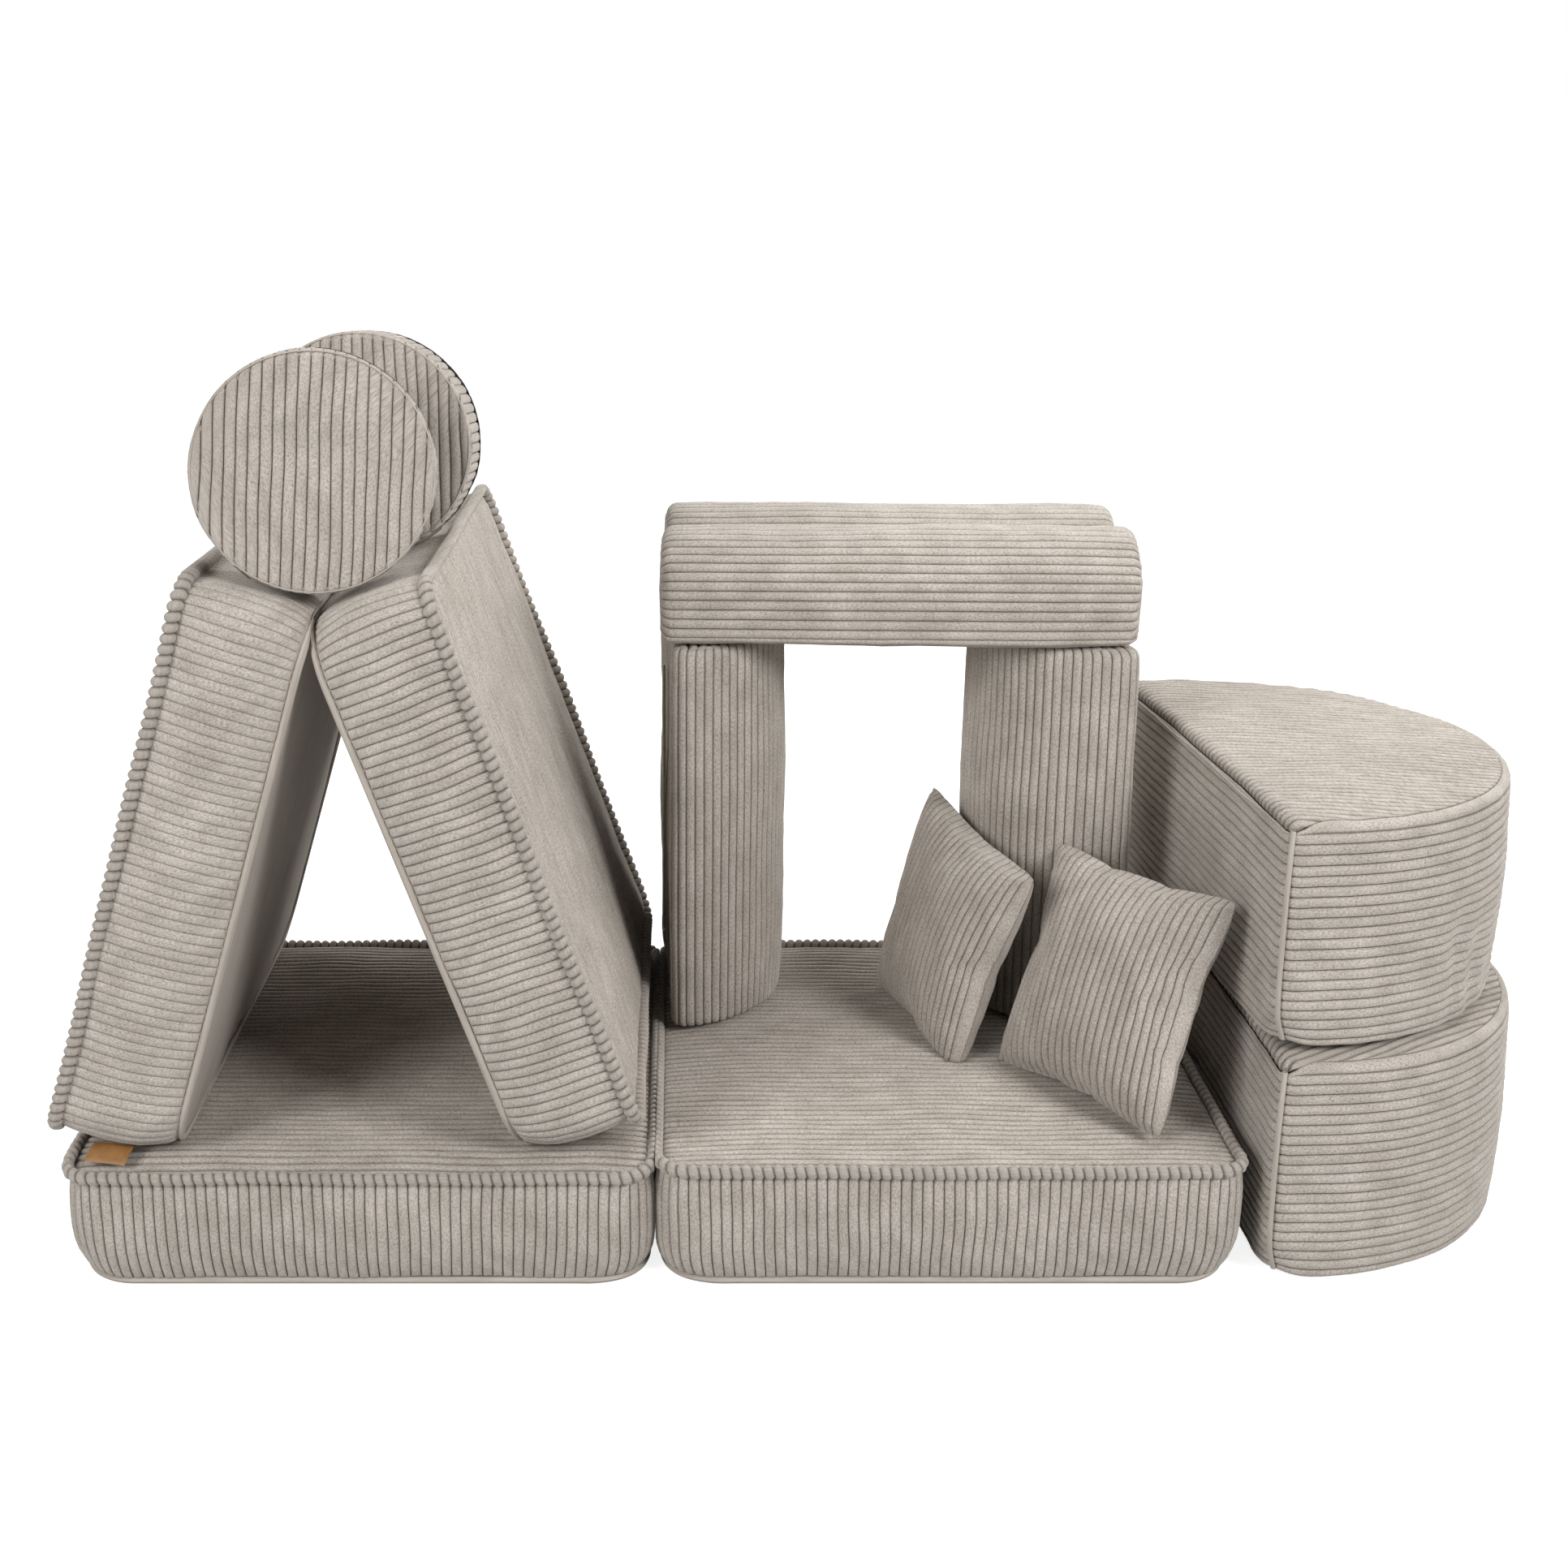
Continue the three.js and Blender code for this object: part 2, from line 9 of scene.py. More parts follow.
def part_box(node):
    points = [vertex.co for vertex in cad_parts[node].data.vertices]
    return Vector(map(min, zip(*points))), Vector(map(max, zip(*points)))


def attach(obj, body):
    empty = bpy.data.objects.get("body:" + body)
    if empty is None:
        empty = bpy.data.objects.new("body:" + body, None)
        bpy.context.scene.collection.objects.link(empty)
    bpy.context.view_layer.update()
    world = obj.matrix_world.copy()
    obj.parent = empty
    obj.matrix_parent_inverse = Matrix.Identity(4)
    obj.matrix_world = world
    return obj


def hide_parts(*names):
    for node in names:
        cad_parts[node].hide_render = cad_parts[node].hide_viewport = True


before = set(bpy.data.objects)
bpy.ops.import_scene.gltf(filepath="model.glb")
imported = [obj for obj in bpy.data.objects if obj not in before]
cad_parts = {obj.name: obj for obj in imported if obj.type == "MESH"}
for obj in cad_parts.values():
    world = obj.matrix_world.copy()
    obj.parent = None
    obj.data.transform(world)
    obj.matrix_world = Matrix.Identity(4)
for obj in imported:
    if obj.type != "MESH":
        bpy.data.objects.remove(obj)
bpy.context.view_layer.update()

# The finishes of a cover's faces, in the order of its materials
RIBBED, SMOOTH, CORDED = range(3)

# Corduroy, in metres: the pitch of its wales, the depth of the grooves between them, and where the
# samples across one wale stand, each with its share of the wale's height; open wales have wider grooves
WALE = 0.013
RELIEF = 0.0038
PANEL_RELIEF = RELIEF * 1.25
RIM_RELIEF = RELIEF * 1.2
ACROSS_SHARES = np.array((0.0, 0.06, 0.18, 0.5, 0.82, 0.94))
OPEN_SHARES = np.array((0.0, 0.1, 0.27, 0.5, 0.73, 0.9))
# The height shares also set the painted shade of the grooves: the lower the share, the darker the colour
HEIGHT_SHARES = np.array((0.0, 0.46, 0.82, 1.0, 0.82, 0.46))

# How far wales wander and covers sink, in metres, with the waves that they follow
WOBBLE = 0.0009
PANEL_WANDER = 0.09
BAND_WANDER = 0.1
SOFTNESS = 0.0013
NAP = 0.00015
WAVE_STRETCH = (0.7, 1.5)
SLOW_WAVES = {"length": 0.2, "lowest": -1.6, "highest": 1.2}
QUICK_WAVES = {"length": 0.045, "lowest": -1.5, "highest": 1}
NAP_WAVES = {"length": 0.011, "count": 9}

# Panels that close a block: the cell along the wales, samples near their ends, crown and rounded rims
PANEL_CELL = 0.03
PANEL_MARGIN = 2e-4
NEAR_ENDS = (0.0015, 0.004, 0.008, 0.014)
CROWN_SPREAD = 0.03
END_ROUNDING = 0.006
# Power on the open wales' height shares, for deeper painted shade in their grooves
PANEL_GROOVE_SHADE = 1.4
WRAP_CELL = 0.025
WRAP_NEAR_ENDS = (0.0003, 0.0012, 0.003, 0.006, 0.01, 0.015, 0.022, 0.032)
WRAP_CROWN_SPREAD = 0.05
SEAM_WIDTH = 0.0035
SEAM_SHARE = 0.35
PIPING = 0.0045
MOON_PIPING = 0.0035
POINTS = {"mat": 241, "mat_piping": 361, "welt": 801, "disc": 181, "disc_seam": 361, "disc_zip": 50,
          "half_round": 241, "half_round_length": 400, "moon_piping": 40, "moon_zip": 60, "block": 25,
          "tag": (25, 13)}
SIDES = {"coil": 6, "seam": 6, "piping": 8, "welt": 14}


# Turns and places

def turn_x(angle):
    return Matrix.Rotation(radians(angle), 4, "X")


def turn_y(angle):
    return Matrix.Rotation(radians(angle), 4, "Y")


def turn_z(angle):
    return Matrix.Rotation(radians(angle), 4, "Z")


def disc_turn(yaw, roll):
    return turn_z(yaw) @ turn_x(90) @ turn_z(-roll)


def pillow_turn(turn, tilt, roll):
    return turn_z(turn) @ turn_x(tilt) @ turn_z(roll)


LENGTHWAYS = Matrix(((0, 0, 1, 0), (0, -1, 0, 0), (1, 0, 0, 0), (0, 0, 0, 1)))


class Place:
    """A module's own axes: z from its underside, x and y from its middle, with its sizes from the frame."""

    def __init__(self, module, turned):
        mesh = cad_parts[f"{module}_cover"].data
        inverse = turned.inverted()
        own = np.array([inverse @ v.co for v in mesh.vertices])
        self.low = own.min(0)
        self.high = own.max(0)
        self.size = self.high - self.low
        self.turned = turned

    def matrix(self, x_from_low=False):
        """The matrix from the module's own axes to the row; x_from_low puts x at its lowest side."""
        x = self.low[0] if x_from_low else (self.low[0] + self.high[0]) / 2
        y = (self.low[1] + self.high[1]) / 2
        return self.turned @ Matrix.Translation((x, y, self.low[2]))


# Smooth waves that stand for the softness of hand-made covers

def waves(points, length, seed, count=7):
    draw = np.random.RandomState(seed)
    total = np.zeros(points.shape[:-1])
    for _ in range(count):
        direction = draw.normal(size=3)
        direction /= np.linalg.norm(direction)
        phase = draw.uniform(0, 2 * pi)
        stretch = draw.uniform(*WAVE_STRETCH)
        total += np.sin(points @ direction * (2 * pi / (length * stretch)) + phase)
    return total / count ** 0.5


def sinking_waves(points, seed, length, lowest, highest):
    """Waves that are cut off at two heights and never rise above the surface."""
    return np.clip(waves(points, length, seed), lowest, highest) - highest


def wale_samples(count, across_shares=ACROSS_SHARES):
    """Where the samples across count wales stand, as shares of the whole, and each one's height share."""
    stations = (np.arange(count)[:, None] + across_shares[None, :]).ravel() / count
    heights = np.tile(HEIGHT_SHARES, count)
    return np.append(stations, 1.0), np.append(heights, HEIGHT_SHARES[0])


def along_samples(length, cell, ends=NEAR_ENDS):
    """Shares along a length: even cells, with close ones at both ends for what is rounded there."""
    near = np.array(ends) / length
    count = max(int(ceil(length / cell)), 2)
    middle = np.linspace(near[-1], 1 - near[-1], count + 1)[1:-1]
    return np.concatenate(((0.0,), near, middle, 1 - near[::-1], (1.0,)))


def rounded_drop(distance, radius):
    """How far a rounded edge has dropped at a distance from its rim."""
    inside = np.clip(1 - distance / radius, 0, 1)
    return radius * (1 - np.sqrt(1 - inside ** 2))


# Outlines in a module's own x and y

OUTLINE_STEPS = 200
LEAST_BEND = 0.25


def square_outline(turns, half, radius, inset):
    """A rounded square; turns goes from 0 to 4, from the middle of a corner to the next."""
    reach = half - radius
    corner_share = radius * pi / 2 / (radius * pi / 2 + 2 * reach)
    shifted = turns + corner_share / 2
    quarter = np.floor(shifted)
    part = shifted - quarter
    angle = np.clip(part / corner_share, 0, 1) * pi / 2
    x = reach + (radius - inset) * np.cos(angle)
    y = reach + (radius - inset) * np.sin(angle)
    side = np.clip((part - corner_share) / (1 - corner_share), 0, 1)
    on_side = part > corner_share
    x = np.where(on_side, reach * (1 - 2 * side), x)
    y = np.where(on_side, half - inset, y)
    turn = quarter * pi / 2
    return np.stack((x * np.cos(turn) - y * np.sin(turn), x * np.sin(turn) + y * np.cos(turn)), -1)


def half_round_outline(shares, radius, size, inset):
    """A half round with a straight stretch behind it: the flat side on x = 0, starting at its middle."""
    straight = size["straight"]
    corner = size["corner"]
    steps = np.linspace(0, 1, OUTLINE_STEPS)
    reach = radius - inset
    bend = max(corner - inset, corner * LEAST_BEND)
    low = inset + bend
    lift = np.arcsin(max(low - straight, 0) / (reach - bend))
    corner_y = (reach - bend) * cos(lift)
    sweep = pi / 2 + lift
    first = pi + sweep * steps
    last = pi / 2 - lift + sweep * steps
    round_angles = lift - pi / 2 + (pi - 2 * lift) * steps
    flat_y = corner_y * steps
    flat_x = inset + size["draw"] * (1 - steps ** 2)
    points = np.concatenate((
        np.stack((flat_x, -flat_y), -1),
        np.stack((low + bend * np.cos(first), -corner_y + bend * np.sin(first)), -1),
        np.stack((straight + reach * np.cos(round_angles), reach * np.sin(round_angles)), -1),
        np.stack((low + bend * np.cos(last), corner_y + bend * np.sin(last)), -1),
        np.stack((flat_x, flat_y), -1)[::-1],
    ))
    lengths = np.append(0, np.cumsum(np.linalg.norm(np.diff(points, axis=0), axis=1)))
    at = shares * lengths[-1]
    return np.stack((np.interp(at, lengths, points[:, 0]), np.interp(at, lengths, points[:, 1])), -1)


def circle_outline(shares, radius):
    angles = shares * 2 * pi
    return np.stack((radius * np.cos(angles), radius * np.sin(angles)), -1)


def at_level(outline, z):
    return np.column_stack((outline, np.full(len(outline), z)))


def outline_length(outline):
    return np.linalg.norm(np.diff(outline, axis=0), axis=1).sum()


def chords(outline, levels):
    """The lowest and highest x of a closed outline at each level of y."""
    a = outline[:-1]
    b = outline[1:]
    lows = np.full(len(levels), np.inf)
    highs = np.full(len(levels), -np.inf)
    rise = b[:, 1] - a[:, 1]
    for i, level in enumerate(levels):
        crosses = (np.minimum(a[:, 1], b[:, 1]) <= level) & (np.maximum(a[:, 1], b[:, 1]) >= level)
        crosses &= np.abs(rise) > 1e-9
        share = (level - a[crosses, 1]) / rise[crosses]
        x = a[crosses, 0] + share * (b[crosses, 0] - a[crosses, 0])
        if len(x):
            lows[i] = x.min()
            highs[i] = x.max()
    return lows, highs


# Cloth: grids of points gathered into one mesh

def add_object(name, data):
    added = bpy.data.objects.new(name, data)
    bpy.context.scene.collection.objects.link(added)
    return added


def press_in(cloth, centre, reach, push):
    """Presses a cover in, or pulls it out, round a point in its own axes."""
    for points in cloth.points:
        away = np.linalg.norm((points - np.array(centre)) / np.array(reach), axis=1)
        points += np.array(push) * np.exp(-away ** 2)[:, None]


class Cloth:
    """One sewn piece. Grids run along the wales on their first axis and across them on their second.

    Limits are the lowest and highest corner that its points may reach, in its own axes."""

    def __init__(self, seed, limits=None):
        self.seed = seed
        self.limits = limits
        self.points = []
        self.faces = []
        self.finishes = []
        self.heights = []
        self.weave = []
        self.count = 0

    def add(self, grid, heights=None, finish=RIBBED, flip=False):
        rows, columns = grid.shape[:2]
        index = np.arange(rows * columns).reshape(rows, columns) + self.count
        faces = np.stack((index[:-1, :-1], index[:-1, 1:], index[1:, 1:], index[1:, :-1]), -1).reshape(-1, 4)
        self.faces.append(faces[:, ::-1] if flip else faces)
        self.finishes.append(np.full(len(faces), finish))
        self.points.append(grid.reshape(-1, 3))
        # The height shares are kept as the wale attribute, from which the corduroy material paints shade
        wale = np.ones((rows, columns)) if heights is None else heights * np.ones((rows, columns))
        self.heights.append(wale.ravel())
        steps_across = np.linalg.norm(np.diff(grid, axis=1), axis=2)
        steps_along = np.linalg.norm(np.diff(grid, axis=0), axis=2)
        across = np.concatenate((np.zeros((rows, 1)), np.cumsum(steps_across, axis=1)), axis=1)
        along = np.concatenate((np.zeros((1, columns)), np.cumsum(steps_along, axis=0)), axis=0)
        patch = np.full((rows, columns), float(len(self.points)))
        self.weave.append(np.stack((across, along, patch), -1).reshape(-1, 3))
        self.count += rows * columns

    def add_relief(self, grid, normals, heights, finish=RIBBED, flip=False, relief=RELIEF, shade_power=1.0):
        """Adds a grid with its wales cut into it, and softened by slow waves that only sink it."""
        slow = sinking_waves(grid, self.seed, **SLOW_WAVES)
        quick = sinking_waves(grid, self.seed + 1, **QUICK_WAVES)
        nap = waves(grid, seed=self.seed + 3, **NAP_WAVES) * np.clip(heights, 0, 1)
        soft = SOFTNESS * slow + SOFTNESS / 3 * quick + NAP * nap
        raised = grid + normals * (relief * (heights - 1) + soft)[..., None]
        # Painted shade: the height shares, raised to a power, are stored to make the grooves darker
        self.add(raised, np.clip(heights, 0, 1) ** shade_power, finish, flip)

    def build(self, name, matrix, materials):
        mesh = bpy.data.meshes.new(name)
        points = np.concatenate(self.points)
        if self.limits is not None:
            points = np.clip(points, *self.limits)
        faces = np.concatenate(self.faces)
        mesh.from_pydata(points.tolist(), [], faces.tolist())
        mesh.polygons.foreach_set("material_index", np.concatenate(self.finishes).astype(np.int32))
        mesh.polygons.foreach_set("use_smooth", np.ones(len(faces), bool))
        for label, kind, field, values in (("wale", "FLOAT", "value", self.heights),
                                           ("weave", "FLOAT_VECTOR", "vector", self.weave)):
            values = np.concatenate(values).astype(np.float32).ravel()
            mesh.attributes.new(label, kind, "POINT").data.foreach_set(field, values)
        for material in materials:
            mesh.materials.append(material)
        mesh.update()
        piece = add_object(name, mesh)
        piece.matrix_world = matrix
        return piece


def grid_normals(grid, closed=False, flip=False):
    """Unit normals of a grid; closed grids repeat their first column at the end."""
    along = np.gradient(grid, axis=0)
    if closed:
        padded = np.concatenate((grid[:, -2:-1], grid, grid[:, 1:2]), axis=1)
        across = (padded[:, 2:] - padded[:, :-2]) / 2
    else:
        across = np.gradient(grid, axis=1)
    normals = np.cross(across, along)
    normals /= np.maximum(np.linalg.norm(normals, axis=2, keepdims=True), 1e-12)
    return -normals if flip else normals


def panel_grid(outline, direction, across_shares, cell, near_ends):
    """The points x and y of a panel whose wales run along a direction, in degrees from the outline's x.

    With them come how far each lies from its wale's ends and from the panel's sides, the wales' height
    shares, and the matrix that turns the points back into the outline's axes."""
    turn = radians(direction)
    spin = np.array(((cos(turn), sin(turn)), (-sin(turn), cos(turn))))
    turned = outline @ spin.T
    low, high = turned[:, 1].min(), turned[:, 1].max()
    count = max(int(round((high - low) / WALE)), 1)
    stations, heights = wale_samples(count, across_shares)
    levels = low + (high - low) * np.clip(stations, PANEL_MARGIN, 1 - PANEL_MARGIN)
    starts, ends = chords(turned, levels)
    shares = along_samples((ends - starts).max(), cell, near_ends)
    x = starts[None, :] + (ends - starts)[None, :] * shares[:, None]
    y = np.broadcast_to(levels, x.shape)
    from_ends = np.minimum(x - starts, ends - x)
    from_sides = np.minimum(y - low, high - y)
    return x, y, from_ends, from_sides, heights, spin


def wandering(cloth, x, y, room, spin):
    """A panel's points in the outline's axes, with wales that wander where they have room."""
    wander = WOBBLE * waves(np.stack((x, y, 0 * x), -1), PANEL_WANDER, cloth.seed + 2)
    return np.stack((x, y + wander * np.clip(room / WALE, 0, 1)), -1) @ spin


def cap(cloth, outline, height, up, crown, direction=0, finish=RIBBED, relief=RELIEF, open_wales=False):
    """Fills an outline with a crowned panel whose wales run along a direction, in degrees from x."""
    across_shares = OPEN_SHARES if open_wales else ACROSS_SHARES
    x, y, from_ends, from_sides, heights, spin = panel_grid(outline, direction, across_shares, PANEL_CELL,
                                                            NEAR_ENDS)
    rise = crown * (1 - np.exp(-from_ends / CROWN_SPREAD)) * (1 - np.exp(-from_sides / CROWN_SPREAD))
    drop = rounded_drop(from_ends, END_ROUNDING) + rounded_drop(from_sides, END_ROUNDING)
    flat = wandering(cloth, x, y, from_sides, spin)
    z = height + up * (rise - drop)
    grid = np.concatenate((flat, z[..., None]), -1)
    normals = np.zeros_like(grid)
    normals[..., 2] = up
    # Open wales take deeper painted shade in their grooves
    shade_power = PANEL_GROOVE_SHADE if open_wales else 1.0
    cloth.add_relief(grid, normals, np.broadcast_to(heights, x.shape), finish, up > 0, relief, shade_power)


def rim_distance(points, outline):
    """How far points in a plane lie from a closed outline."""
    least = np.full(points.shape[:-1], np.inf)
    for start, end in zip(outline[:-1], outline[1:]):
        run = end - start
        share = np.clip((points - start) @ run / max(run @ run, 1e-12), 0, 1)
        least = np.minimum(least, np.linalg.norm(points - start - share[..., None] * run, axis=-1))
    return least


def wrapped_panel(cloth, outer, inner, height, rim, crown, direction):
    """A ribbed top panel up to its inner outline, bent down over a rim that is rounded within the outer."""
    x, y, from_ends, from_sides, heights, spin = panel_grid(inner, direction, OPEN_SHARES, WRAP_CELL,
                                                            WRAP_NEAR_ENDS)
    from_edge = np.minimum(from_ends, from_sides)
    flat = wandering(cloth, x, y, from_edge, spin)
    away = rim_distance(flat, outer)
    z = height - rounded_drop(away, rim) + crown * (1 - np.exp(-away / WRAP_CROWN_SPREAD))
    grid = np.concatenate((flat, z[..., None]), -1)
    # Towards the seam the wales sink, and their lower height shares make the colour darker there as painted
    # shade
    seam = SEAM_SHARE + (1 - SEAM_SHARE) * np.sqrt(np.clip(from_edge / SEAM_WIDTH, 0, 1))
    cloth.add_relief(grid, grid_normals(grid, flip=True), heights * seam, RIBBED, True, RIM_RELIEF,
                     PANEL_GROOVE_SHADE)


def tube(cloth, path, radius, tall=None, outward=None, sides=SIDES["piping"], closed=True, finish=RIBBED,
         beads=0, skew=0.0, depth=0.0):
    """A cord along a path. Beads swell between grooves that wind across it by skew, in beads."""
    points = np.asarray(path)
    if closed:
        tangent = np.roll(points[:-1], -1, 0) - np.roll(points[:-1], 1, 0)
        tangent = np.concatenate((tangent, tangent[:1]))
    else:
        tangent = np.gradient(points, axis=0)
    tangent /= np.linalg.norm(tangent, axis=1, keepdims=True)
    reference = np.array((0.0, 0.0, 1.0)) if outward is None else np.asarray(outward)
    side = np.cross(tangent, np.broadcast_to(reference, tangent.shape))
    side /= np.linalg.norm(side, axis=1, keepdims=True)
    up = np.cross(side, tangent)
    angles = np.linspace(0, 2 * pi, sides + 1)
    share = np.linspace(0, 1, len(points))
    heights = np.ones(len(points))
    phase = share[:, None] * np.ones(sides + 1)
    if beads:
        stations, heights = wale_samples(beads, OPEN_SHARES)
        phase = stations[:, None] + skew / beads * np.sin(angles)[None, :]
        phase = np.mod(phase, 1.0) if closed else np.clip(phase, 0, 1)

    def read(values):
        return np.stack([np.interp(phase, share, values[:, k]) for k in range(3)], -1)

    swell = 1 - depth / radius * (1 - heights)[:, None, None]
    offset = (read(side) * (radius * np.cos(angles))[None, :, None]
              + read(up) * ((tall or radius) * np.sin(angles))[None, :, None])
    # On ribbed cloth, such as the welt, the beads' height shares also paint shade into the grooves between
    # them
    cloth.add(read(points) + offset * swell, np.broadcast_to(heights[:, None], phase.shape), finish, True)


# Materials: noises by scale, detail and roughness, and colour stops

def linear(red, green, blue):
    """An sRGB colour, from 0 to 255, as Blender's linear one."""
    shares = np.array((red, green, blue)) / 255
    values = np.where(shares <= 0.04045, shares / 12.92, ((shares + 0.055) / 1.055) ** 2.4)
    return (*values.tolist(), 1.0)


TUFTS = {"scale": 480, "detail": 3, "rough": 0.75}
PILE = {"scale": 1300, "detail": 2, "rough": 0.7}
BRUSHED = {"scale": 30, "detail": 4}
PATCHES = {"scale": 8, "detail": 4}
STREAKS = {"scale": 160, "detail": 3}
THREAD = {"detail": 2, "rough": 0.7}
PATCH_STOPS = ((0.36, (0.9, 0.895, 0.89, 1)), (0.64, (1.0, 1.0, 1.0, 1)))
BRUSHED_STOPS = ((0.34, linear(182, 174, 165)), (0.66, linear(202, 194, 186)))
FLECK_STOPS = ((0.32, (0.5, 0.49, 0.47, 1)), (0.58, (1.1, 1.1, 1.09, 1)))
# Painted shade: the wales' height shares make the colour darker down into the grooves
GROOVE_SHADE_STOPS = ((0.1, (0.4, 0.37, 0.34, 1)), (0.7, (1, 1, 1, 1)))
THREAD_STOPS = ((0.3, (0.82, 0.82, 0.82, 1)), (0.7, (1, 1, 1, 1)))
CLOTH_FINISH = {"Specular IOR Level": 0.15, "Sheen Roughness": 0.45, "Sheen Tint": (1.0, 0.98, 0.94, 1.0)}
CORDUROY_FINISH = {**CLOTH_FINISH, "Sheen Weight": 0.36, "Roughness": 0.95}
PLAIN_FINISH = {**CLOTH_FINISH, "Sheen Weight": 0.15, "Roughness": 0.92}


def node_tree(name):
    material = bpy.data.materials.new(name)
    material.use_nodes = True
    tree = material.node_tree
    return material, tree, tree.nodes["Principled BSDF"]


def set_inputs(tree, node, values):
    """Sets a node's inputs, by name or number, each to a plain value or to a link from another node."""
    for name, value in values.items():
        if isinstance(value, bpy.types.NodeSocket):
            tree.links.new(value, node.inputs[name])
        else:
            node.inputs[name].default_value = value


def add_node(tree, kind, values=None, **settings):
    node = tree.nodes.new(kind)
    for name, value in settings.items():
        setattr(node, name, value)
    set_inputs(tree, node, values or {})
    return node


def noise(tree, vector, scale, detail, rough=0.6):
    values = {"Vector": vector, "Scale": scale, "Detail": detail, "Roughness": rough}
    return add_node(tree, "ShaderNodeTexNoise", values).outputs["Fac"]


def ramp(tree, fac, stops):
    node = add_node(tree, "ShaderNodeValToRGB", {"Fac": fac})
    for stop, (position, colour) in zip(node.color_ramp.elements, stops):
        stop.position = position
        stop.color = colour
    return node.outputs["Color"]


def mix_colour(tree, fac, a, b, blend="MIX"):
    """Mixes two colours; the inputs and the output of a Mix node's colours have these numbers."""
    node = add_node(tree, "ShaderNodeMix", {0: fac, 6: a, 7: b}, data_type="RGBA", blend_type=blend)
    return node.outputs[2]


def attribute(tree, name, output):
    return add_node(tree, "ShaderNodeAttribute", attribute_name=name).outputs[output]


def object_place(tree):
    return add_node(tree, "ShaderNodeTexCoord").outputs["Object"]


def stretched(tree, vector, along):
    """A vector with its second axis, along the cloth, stretched by a share."""
    values = {"Vector": vector, "Scale": (1.0, along, 1.0)}
    return add_node(tree, "ShaderNodeMapping", values).outputs["Vector"]


def bump(tree, height, strength, distance):
    values = {"Height": height, "Strength": strength, "Distance": distance}
    return add_node(tree, "ShaderNodeBump", values).outputs["Normal"]


def corduroy_material():
    """Greige corduroy: brushed patches, a speckled pile in tufts along each wale, and painted shade in the
    grooves.
    """
    material, tree, shader = node_tree("corduroy")
    weave = attribute(tree, "weave", "Vector")
    tufts = noise(tree, stretched(tree, weave, 0.6), **TUFTS)
    pile = noise(tree, stretched(tree, weave, 0.8), **PILE)
    body = ramp(tree, noise(tree, stretched(tree, weave, 0.6), **BRUSHED), BRUSHED_STOPS)
    patches = ramp(tree, noise(tree, object_place(tree), **PATCHES), PATCH_STOPS)
    # Painted shade in the grooves, read from the wales' height shares in the wale attribute
    grooves = ramp(tree, attribute(tree, "wale", "Fac"), GROOVE_SHADE_STOPS)
    body = mix_colour(tree, 1.0, body, patches, "MULTIPLY")
    body = mix_colour(tree, 0.85, body, ramp(tree, tufts, FLECK_STOPS), "MULTIPLY")
    body = mix_colour(tree, 1.0, body, grooves, "MULTIPLY")
    normal = bump(tree, mix_colour(tree, 0.4, tufts, pile), 0.75, 0.0011)
    set_inputs(tree, shader, {"Base Color": body, "Normal": normal, **CORDUROY_FINISH})
    return material


def plain_cloth_material(name, light, dark, streak=0.3, thread=1100):
    """Plain woven cloth with faint streaks along its length and a fine thread."""
    material, tree, shader = node_tree(name)
    weave = attribute(tree, "weave", "Vector")
    streaks = noise(tree, stretched(tree, weave, 0.06), **STREAKS)
    fine = noise(tree, stretched(tree, weave, streak), thread, **THREAD)
    body = ramp(tree, streaks, ((0.3, linear(*dark)), (0.7, linear(*light))))
    body = mix_colour(tree, 0.5, body, ramp(tree, fine, THREAD_STOPS), "MULTIPLY")
    set_inputs(tree, shader, {"Base Color": body, "Normal": bump(tree, fine, 0.5, 0.0005), **PLAIN_FINISH})
    return material


def toned_material(name, scale, detail, dark, light, finish, spread=(0.3, 0.7)):
    """A material that changes between two tones, in its place on the module."""
    material, tree, shader = node_tree(name)
    stops = ((spread[0], linear(*dark)), (spread[1], linear(*light)))
    body = ramp(tree, noise(tree, object_place(tree), scale, detail), stops)
    set_inputs(tree, shader, {"Base Color": body, **finish})
    return material


def leather_material():
    """Tan leather with a fine grain of cells."""
    material = toned_material("tan_leather", 60, 4, (128, 88, 46), (160, 116, 68), {"Roughness": 0.5},
                              (0.25, 0.75))
    tree = material.node_tree
    cells = add_node(tree, "ShaderNodeTexVoronoi", {"Vector": object_place(tree), "Scale": 1500.0})
    grain = bump(tree, cells.outputs["Distance"], 0.35, 0.0003)
    set_inputs(tree, tree.nodes["Principled BSDF"], {"Normal": grain})
    return material


CORDUROY = corduroy_material()
PLAIN = plain_cloth_material("underside_cloth", (188, 179, 170), (170, 161, 152))
CORD_CLOTH = plain_cloth_material("piping_cloth", (200, 191, 181), (172, 163, 153), 0.6, 900)
TAPE = plain_cloth_material("zip_tape", (176, 165, 151), (150, 140, 127), 1.0, 1600)
LEATHER = leather_material()
NYLON = toned_material("nylon_coil", 300, 2, (132, 121, 108), (160, 149, 136), {"Roughness": 0.45})
METAL = toned_material("zip_slider_metal", 900, 3, (120, 116, 110), (168, 163, 156),
                       {"Roughness": 0.38, "Metallic": 0.9})
CLOTHS = (CORDUROY, PLAIN, CORD_CLOTH)


def dress(piece, module, slot, *nodes):
    """Lets a piece ride on its module and stand for CAD nodes, which it hides; the slot is not used."""
    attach(piece, module)
    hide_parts(*nodes)


def dress_cover(piece, module, filling="foam_core"):
    """Lets a padded piece stand for a module's CAD cover and its filling."""
    dress(piece, module, "corduroy", f"{module}_cover", f"{module}_{filling}")


# Zips

